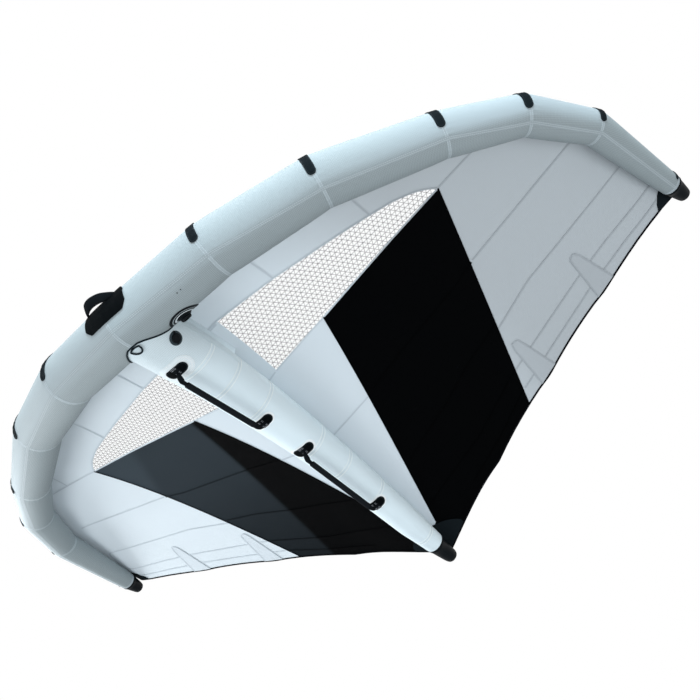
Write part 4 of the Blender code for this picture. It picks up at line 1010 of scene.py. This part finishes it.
def ribbon(name, path, sides, widths, thickness, body, replaces, columns, plump=0.0):
    """A webbing strap along a smooth path of places; sides say which way its width lies."""
    def smooth_at(values, t):
        t = min(max(t, 0), 1) * (len(values) - 1)
        k = min(int(t), len(values) - 2)
        t -= k
        before, after = values[max(k - 1, 0)], values[min(k + 2, len(values) - 1)]
        a, b = values[k], values[k + 1]
        return (a * 2 + (b - before) * t + (before * 2 - a * 5 + b * 4 - after) * t * t
                + (a * 3 - before - b * 3 + after) * t * t * t) * 0.5

    def surface(u, v):
        t = u / length
        place, side = smooth_at(path, t), smooth_at(sides, t).normalized()
        run = smooth_at(path, t + 0.01) - smooth_at(path, t - 0.01)
        out = run.cross(side).normalized()
        half = smooth_at(widths, t) / 2
        angle = v / girth * 2 * math.pi
        x, y = math.cos(angle), math.sin(angle)
        square = (abs(x) ** 4 + abs(y) ** 4) ** 0.25
        thick = thickness / 2 + plump * math.sin(math.pi * min(max(t, 0), 1)) ** 0.6
        rise = thick * y / (1 if plump else square)
        return place + side * (half * x / square) + out * rise
    length = sum((b - a).length for a, b in zip(path, path[1:]))
    girth = 2 * max(widths)
    strap = shut(lay(grid((0, 0), (length, girth), columns, 20), surface), 0.00005)
    return sewn(name, strap, WEBBING, replaces, body)


loop_out = Vector((0, -0.99619, 0.08716))
loop_side = Vector((0, 0.08716, 0.99619))
start = Vector((-0.08, -0.10906, 0.0172))
path, sides, widths = [], [], []
for i in range(15):
    share = (1 - math.cos(math.pi * i / 14)) / 2
    rise = 0.031 * math.sin(math.pi * share ** 0.62) ** 0.9 if 0 < i < 14 else 0
    path.append(start + Vector((0.141 * share, 0, 0)) + loop_out * (rise - 0.0008))
    tilt = math.radians(62) * math.sin(math.pi * i / 14) ** 0.5 if 0 < i < 14 else 0
    sides.append(loop_side * math.cos(tilt) + loop_out * math.sin(tilt))
    widths.append(0.013 + 0.023 * min(rise / 0.02, 1))
ribbon("nose_loop", path, sides, widths, 0.004, "neutral_loop", ["neutral_handle_loop"], 64, 0.004)


# Leash loop: a small half-round eye for the end of a leash, in the corner under the strut. It tips
# about its straight side, which a tab of folded webbing holds.
def leash_place(angle):
    reach = 0.028 * math.sin(angle) - 0.0005
    across = Vector((math.cos(angle) * 0.0215, 0, 0))
    return Vector((0, 0.052, -0.10208)) + across + Vector((0, 0.97594, 0.21803)) * reach


def tab_place(u, v):
    angle = v / 0.011 * math.radians(150)
    return Vector((u, 0.042 + math.sin(angle) * 0.0042, -0.103 - math.cos(angle) * 0.0042
                   + max(0, abs(v) - 0.008) * 1.4))


cordlike("leash_eye", [leash_place(math.pi * i / 16) for i in range(17)], 0.0034, ["leash_loop"],
         "leash_ring", closed=True, slot="black_plastic")
sewn("leash_tab", lay(grid((-0.006, -0.011), (0.006, 0.011), 6, 16), tab_place), WEBBING,
     ["leash_loop_tab"], thickness=0.0016, offset=0.0)


# Inflation valve: a welded flange of soft film with two black rings, a hard hub, and a fluted
# screw cap with two finger wings that opens with a quarter turn.
GREY_FILM = moulded("grey_film", (0.5, 0.56, 0.58), 0.5)
PALE_FILM = moulded("pale_film", (0.62, 0.68, 0.7), 0.5)


def on_tube(place, lift):
    """The place on the first length of the tube that is straight under a point."""
    run = RUNS[0]
    foot = run * place.dot(run)
    return foot + (place - foot).normalized() * (RING_RADIUS[0] + PUFF + lift)


def annulus(inner, outer):
    return turned([(inner, 0), ((inner + outer) / 2, 0), (outer, 0)], steps=64)


def fluted(bm, from_radius, flutes, depth):
    """Presses upright grooves into the wall of a round piece that stands on the origin."""
    for vert in bm.verts:
        reach = math.hypot(vert.co.x, vert.co.y)
        if reach > from_radius:
            share = 1 - depth * (0.5 + 0.5 * math.cos(math.atan2(vert.co.y, vert.co.x) * flutes))
            vert.co.x, vert.co.y = vert.co.x * share, vert.co.y * share
    return bm


VALVE = Matrix(((0.98008, 0.19719, 0.02382, 0.18455), (0.08291, -0.51513, 0.85309, 0.10674),
                (0.18049, -0.83412, -0.52122, -0.02229), (0, 0, 0, 1)))
VALVE_OUT = Vector((0.02382, 0.85309, -0.52122))
for name, inner, outer, lift, thickness, material, replaced in (
        ("flange_edge", 0.0515, 0.063, 0.0004, 0.0024, BLACK_PLASTIC, ["inflation_valve_base"]),
        ("flange_film", 0.0475, 0.052, 0.0002, 0.0018, GREY_FILM, ()),
        ("flange_ring", 0.0408, 0.048, 0.0004, 0.0022, BLACK_PLASTIC, ()),
        ("flange_weld", 0.0335, 0.0412, 0.0002, 0.0016, PALE_FILM, ())):
    def valve_flange(u, v):
        return on_tube(VALVE @ Vector((u, v, 0)), lift)
    flange = lay(annulus(inner, outer), valve_flange, out=VALVE_OUT)
    sewn(f"valve_{name}", flange, material, replaced, thickness=thickness)
hub = turned([(0.0338, -0.008), (0.0338, 0.002), (0.0325, 0.0036), (0.028, 0.0048),
              (0.0265, 0.0085), (0.0255, 0.009), (0.012, 0.009), (0.0112, 0.008),
              (0.0112, -0.012), (0, -0.012)], VALVE, 64)
sewn("valve_hub", hub, BLACK_PLASTIC, ["inflation_valve_body"])
valve_cap = turned([(0, 0.0094), (0.019, 0.0094), (0.0205, 0.0098), (0.0215, 0.0112),
                    (0.0218, 0.0135), (0.021, 0.0168), (0.019, 0.0184), (0.016, 0.0188),
                    (0.015, 0.018), (0, 0.0174)], steps=120)
moved(fluted(valve_cap, 0.0195, 20, 0.045), VALVE)
sewn("valve_cap_fluted", valve_cap, BLACK_PLASTIC, ["inflation_valve_cap"], "valve_cap")
wings = bmesh.new()
bmesh.ops.create_cube(wings, size=1, matrix=Matrix.Diagonal((0.038, 0.0085, 0.007, 1)))
bmesh.ops.subdivide_edges(wings, edges=wings.edges, cuts=3, use_grid_fill=True)
for vert in wings.verts:
    vert.co.y *= 0.55 + 0.9 * abs(vert.co.x) / 0.019
    vert.co.z += 0.019 - 0.0016 * (vert.co.x / 0.019) ** 2
bmesh.ops.bevel(wings, geom=[e for e in wings.edges if e.calc_face_angle(0) > 1], offset=0.0024,
                segments=3, profile=0.5, affect="EDGES", material=-1)
sewn("valve_cap_wings", moved(wings, VALVE), BLACK_PLASTIC, body="valve_cap")
MARK = [(0, 0.0008), (0.0016, 0.0007), (0.0022, 0.0002), (0.0023, -0.0004), (0, -0.0004)]
for number, place in enumerate(((0.278, 0.015, -0.057), (0.261, 0.015, -0.061)), 1):
    spot = on_tube(Vector(place), 0.0002)
    out = spot - RUNS[0] * spot.dot(RUNS[0])
    mark = turned(MARK, frame_at(spot, out, RUNS[0]), 16)
    sewn(f"needle_mark_{number}", mark, BLACK_PLASTIC)


# Strut valve: a small plug valve with a hinged lid, on a black flange glued to the strut. The
# lid's plastic strap stays on the wing, and the lid folds open beside it.
LID_HINGE = Vector((0.10337, 0.13576, -0.02764))
LID_X = Vector((-0.38602, 0.83781, -0.38608))
LID_Y = Vector((0.45078, 0.53646, 0.71344))
LID_OUT = Vector((0.80485, 0.10137, -0.58476))
STRUT_VALVE = frame_of(LID_HINGE + LID_X * 0.018 - LID_OUT * 0.0083, LID_X, LID_Y, LID_OUT)


def strut_flange(u, v):
    """The place on the strut straight under a point of the flange."""
    place = STRUT_VALVE @ Vector((u, v, 0))
    height = strut_section(place.y)[0]
    return strut_place(place.y, math.degrees(math.atan2(place.z - height, place.x)), 0.0003)


RIM_BLACK = moulded("rim_black", (0.034, 0.048, 0.056), 0.5)
sewn("strut_valve_flange", lay(annulus(0.0185, 0.0268), strut_flange, out=LID_OUT), RIM_BLACK,
     ["strut_valve_base"], thickness=0.0022)
stem = turned([(0.0192, -0.004), (0.0192, 0.0042), (0.0182, 0.005), (0.006, 0.005),
               (0.0052, 0.004), (0.0052, -0.006), (0, -0.006)], STRUT_VALVE)
sewn("strut_valve_stem", stem, BLACK_PLASTIC)
lid = turned([(0, 0.0054), (0.017, 0.0054), (0.0178, 0.006), (0.018, 0.0072), (0.018, 0.0098),
              (0.0172, 0.0108), (0.0158, 0.0112), (0.0146, 0.0108), (0.0138, 0.01),
              (0.007, 0.0098), (0.006, 0.0102), (0, 0.0103)], STRUT_VALVE)
sewn("strut_lid_disc", lid, BLACK_PLASTIC, ["strut_valve_cap"], "strut_valve_lid")
for name, start, end, half, body in (("tab", 0.0165, 0.0222, 0.005, "strut_valve_lid"),
                                     ("strap", -0.0195, -0.0285, 0.0042, "wing")):
    tab = grid((min(start, end), -half), (max(start, end), half), 8, 6)
    for vert in tab.verts:
        reach = abs(vert.co.x - start) / abs(end - start)
        vert.co.y *= math.sqrt(1 - 0.75 * max(0, reach - 0.5) ** 2 / 0.25)
    moved(tab, STRUT_VALVE @ Matrix.Translation((0, 0, 0.0074)))
    sewn(f"strut_lid_{name}", tab, BLACK_PLASTIC, body=body, thickness=0.0018, offset=0.0,
         rounding=0.0005)


# Handles: soft dark patches glued on pale reinforcements hold the ends of a folded strap, and a
# ribbed foam grip is slipped over it. The strap swings about the line between its ends.
GRIP_START, GRIP_GIRTH, GRIP_HEIGHT, RIB = 0.0452, 0.05, 0.034, 0.006
# Its shaded colour is painted shade, darker towards the front.
PALE_DACRON = dacron("pale_dacron", "strut_dacron", (0.88, 0.93, 0.95), (0.5, 0.56, 0.58))
FOAM = Finish("ribbed_foam", (0.003, 0.004, 0.005), 0.85, "black_foam", Specular_IOR_Level=0.08)
u, v = FOAM.cloth()
pores = FOAM.noise(700, 3.0)
FOAM.feed(Base_Color=FOAM.mix(u.wave(RIB) * 0.5 + pores * 0.4, (0.0018, 0.0024, 0.0034),
                              (0.012, 0.015, 0.0185)), Roughness=0.75 + pores * 0.2)
FOAM.bump(pores, 0.0003)
PALE_THREAD = Finish("pale_thread", (0.3, 0.32, 0.34), 0.7, "black_webbing")
PALE_THREAD.feed(Base_Color=PALE_THREAD.mix(PALE_THREAD.noise(500), (0.14, 0.15, 0.17),
                                            (0.42, 0.44, 0.47)))
PATCH_HALF, PATCH_SIDE = 0.048, 0.0225  # half the length and half the width of a dark patch
# A strap's way from its foot to the grip: along its run, off the strut, and its width there.
LEG = ((0.0, 0.0, 0.0065), (0.0024, 0.0034, 0.0095), (0.012, 0.017, 0.0215),
       (0.0225, 0.0289, 0.025), (0.0285, GRIP_HEIGHT, 0.021), (0.044, GRIP_HEIGHT, 0.018))
FOLD = [(0, -0.014), (0.003, -0.014), (0.0039, -0.0128), (0.0039, 0.0128), (0.003, 0.014),
        (0, 0.014)]


def under_strut(y, lift, shift=0.0):
    """The underside of the strut about a place along it, as a surface for cloth."""
    radius = strut_section(y)[1]

    def surface(u, v):
        return strut_place(y + (u + shift), -90 + math.degrees(v / radius), lift)
    return surface


for name, ends, origin, run, halo in (
        ("front_handle", (0.23698, 0.66523), (0, 0.23698, -0.06924), (0, 0.99391, 0.11022),
         ((0.026, 0.024), (0.009, 0.007))),
        ("rear_handle", (0.89568, 1.33232), (0, 0.89568, -0.01379), (0, 0.99882, -0.04859),
         ((0.01, 0.008), (0.009, 0.007)))):
    for place, y, shift, (longer, wider) in zip(("front", "rear"), ends, (-0.004, 0.004), halo):
        reinforcement = crosscut(stadium(PATCH_HALF + longer, PATCH_SIDE + wider), 0.01)
        sewn(f"{name}_reinforcement_{place}", lay(reinforcement, under_strut(y, 0.0006), out=-UP),
             PALE_DACRON, thickness=0.0009)
        patch = crosscut(stadium(PATCH_HALF, PATCH_SIDE), 0.008)
        sewn(f"{name}_pad_{place}", lay(patch, under_strut(y, 0.0022), out=-UP), BLACK_WEAVE,
             [f"{name}_patch_{place}"], thickness=0.002, rounding=0.0006)
        edge_stitches(f"{name}_stitches_{place}", PATCH_HALF - 0.0035, PATCH_SIDE - 0.0035,
                      under_strut(y, 0.0042), THREAD)
        foot = grid((-0.02, -0.0135), (0.02, 0.0135), 8, 6)
        sewn(f"{name}_foot_{place}", lay(foot, under_strut(y, 0.0042, shift), out=-UP), WEBBING,
             thickness=0.0009, rounding=0.0002)
        for row, place_u in enumerate((-0.016, -0.01, 0.01, 0.016), 1):
            stitch = grid((-0.0009, -0.011), (0.0009, 0.011), 2, 6)
            lay(stitch, under_strut(y, 0.0052, place_u + shift), out=-UP)
            sewn(f"{name}_foot_stitch_{place}_{row}", stitch, PALE_THREAD, thickness=0.0005)
        halo_rows = ((0.022, 0.02), (0.012, 0.011)) if longer > 0.02 else ()
        for row, (first, second) in enumerate(halo_rows, 1):
            edge_stitches(f"{name}_halo_stitches_{row}", PATCH_HALF + first, PATCH_SIDE + second,
                          under_strut(y, 0.0014), STRUT_SEAM)
    matrix = frame_at(Vector(origin), Vector((0, run[2], -run[1])), Vector(run))
    across = matrix.to_3x3() @ Vector((0, 1, 0))
    length = (ends[1] - ends[0]) / run[1]
    for place, turn in (("front", 1), ("rear", -1)):
        root = 0 if turn > 0 else length
        for layer, (lift, share, span) in enumerate(((0.0, 1, LEG), (0.0031, 0.82, LEG[1:5])), 1):
            path = [matrix @ Vector((root + turn * a, 0, b + lift)) for a, b, width in span]
            widths = [width * share for a, b, width in span]
            ribbon(f"{name}_strap_{place}_{layer}", path, [across] * len(path), widths, 0.003,
                   name, [f"{name}_webbing"] if place == "front" and layer == 1 else (), 28)
        for bar, share in enumerate((0.36, 0.5, 0.64, 0.86), 1):
            spot = matrix @ Vector((root + turn * 0.03 * share, 0, GRIP_HEIGHT * share + 0.005))
            lean = (matrix.to_3x3() @ Vector((turn * 0.66, 0, 0.75))).normalized()
            tack = grid((-0.0012, -0.0078), (0.0012, 0.0078), 3, 6)
            moved(tack, frame_of(spot, lean, across, lean.cross(across).normalized()))
            sewn(f"{name}_bar_tack_{place}_{bar}", tack, PALE_THREAD, body=name, thickness=0.0008,
                 offset=0.0)
        fold = matrix @ Matrix.Translation((root, 0, 0)) @ Matrix.Rotation(math.pi / 2, 4, "Y")
        sewn(f"{name}_fold_{place}", turned(FOLD, fold, 20), WEBBING, body=name)

    def foam(u, v):
        """A flat oval with round ends and fine ribs."""
        inset = min(u - GRIP_START, length - GRIP_START - u)
        share = math.sqrt(max(0.0, 1 - max(0.0, 1 - inset / 0.005) ** 2)) * 0.35 + 0.65
        share -= 0.035 * (0.5 + 0.5 * math.cos(2 * math.pi * u / RIB)) if inset > 0.008 else 0.0
        angle = v / GRIP_GIRTH * 2 * math.pi
        x, y = math.cos(angle), math.sin(angle)
        square = (abs(x) ** 3 + abs(y) ** 3) ** (1 / 3)
        wide, high = x / square * 0.0122 * share, y / square * 0.0086 * share
        return matrix @ Vector((u, wide, GRIP_HEIGHT + high))
    grip = grid((GRIP_START, 0), (length - GRIP_START, GRIP_GIRTH), 228, 24)
    sewn(f"{name}_foam", shut(lay(grip, foam), 0.00002), FOAM, [f"{name}_grip"], name)


# Bladders and hose: welded film tubes that hold the air inside the casings, and the hose
# that lets it from one to the other.
for node, colour in (("le_bladder", (0.7, 0.72, 0.66)), ("strut_bladder", (0.7, 0.72, 0.66)),
                     ("inflation_hose", (0.55, 0.57, 0.54))):
    film = Finish(f"{node}_film", colour, 0.35)
    film.feed(Base_Color=film.mix(film.noise(4, 3.0), colour, tuple(c * 0.85 for c in colour)))
    for material_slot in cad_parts[node].material_slots:
        material_slot.material = film.material
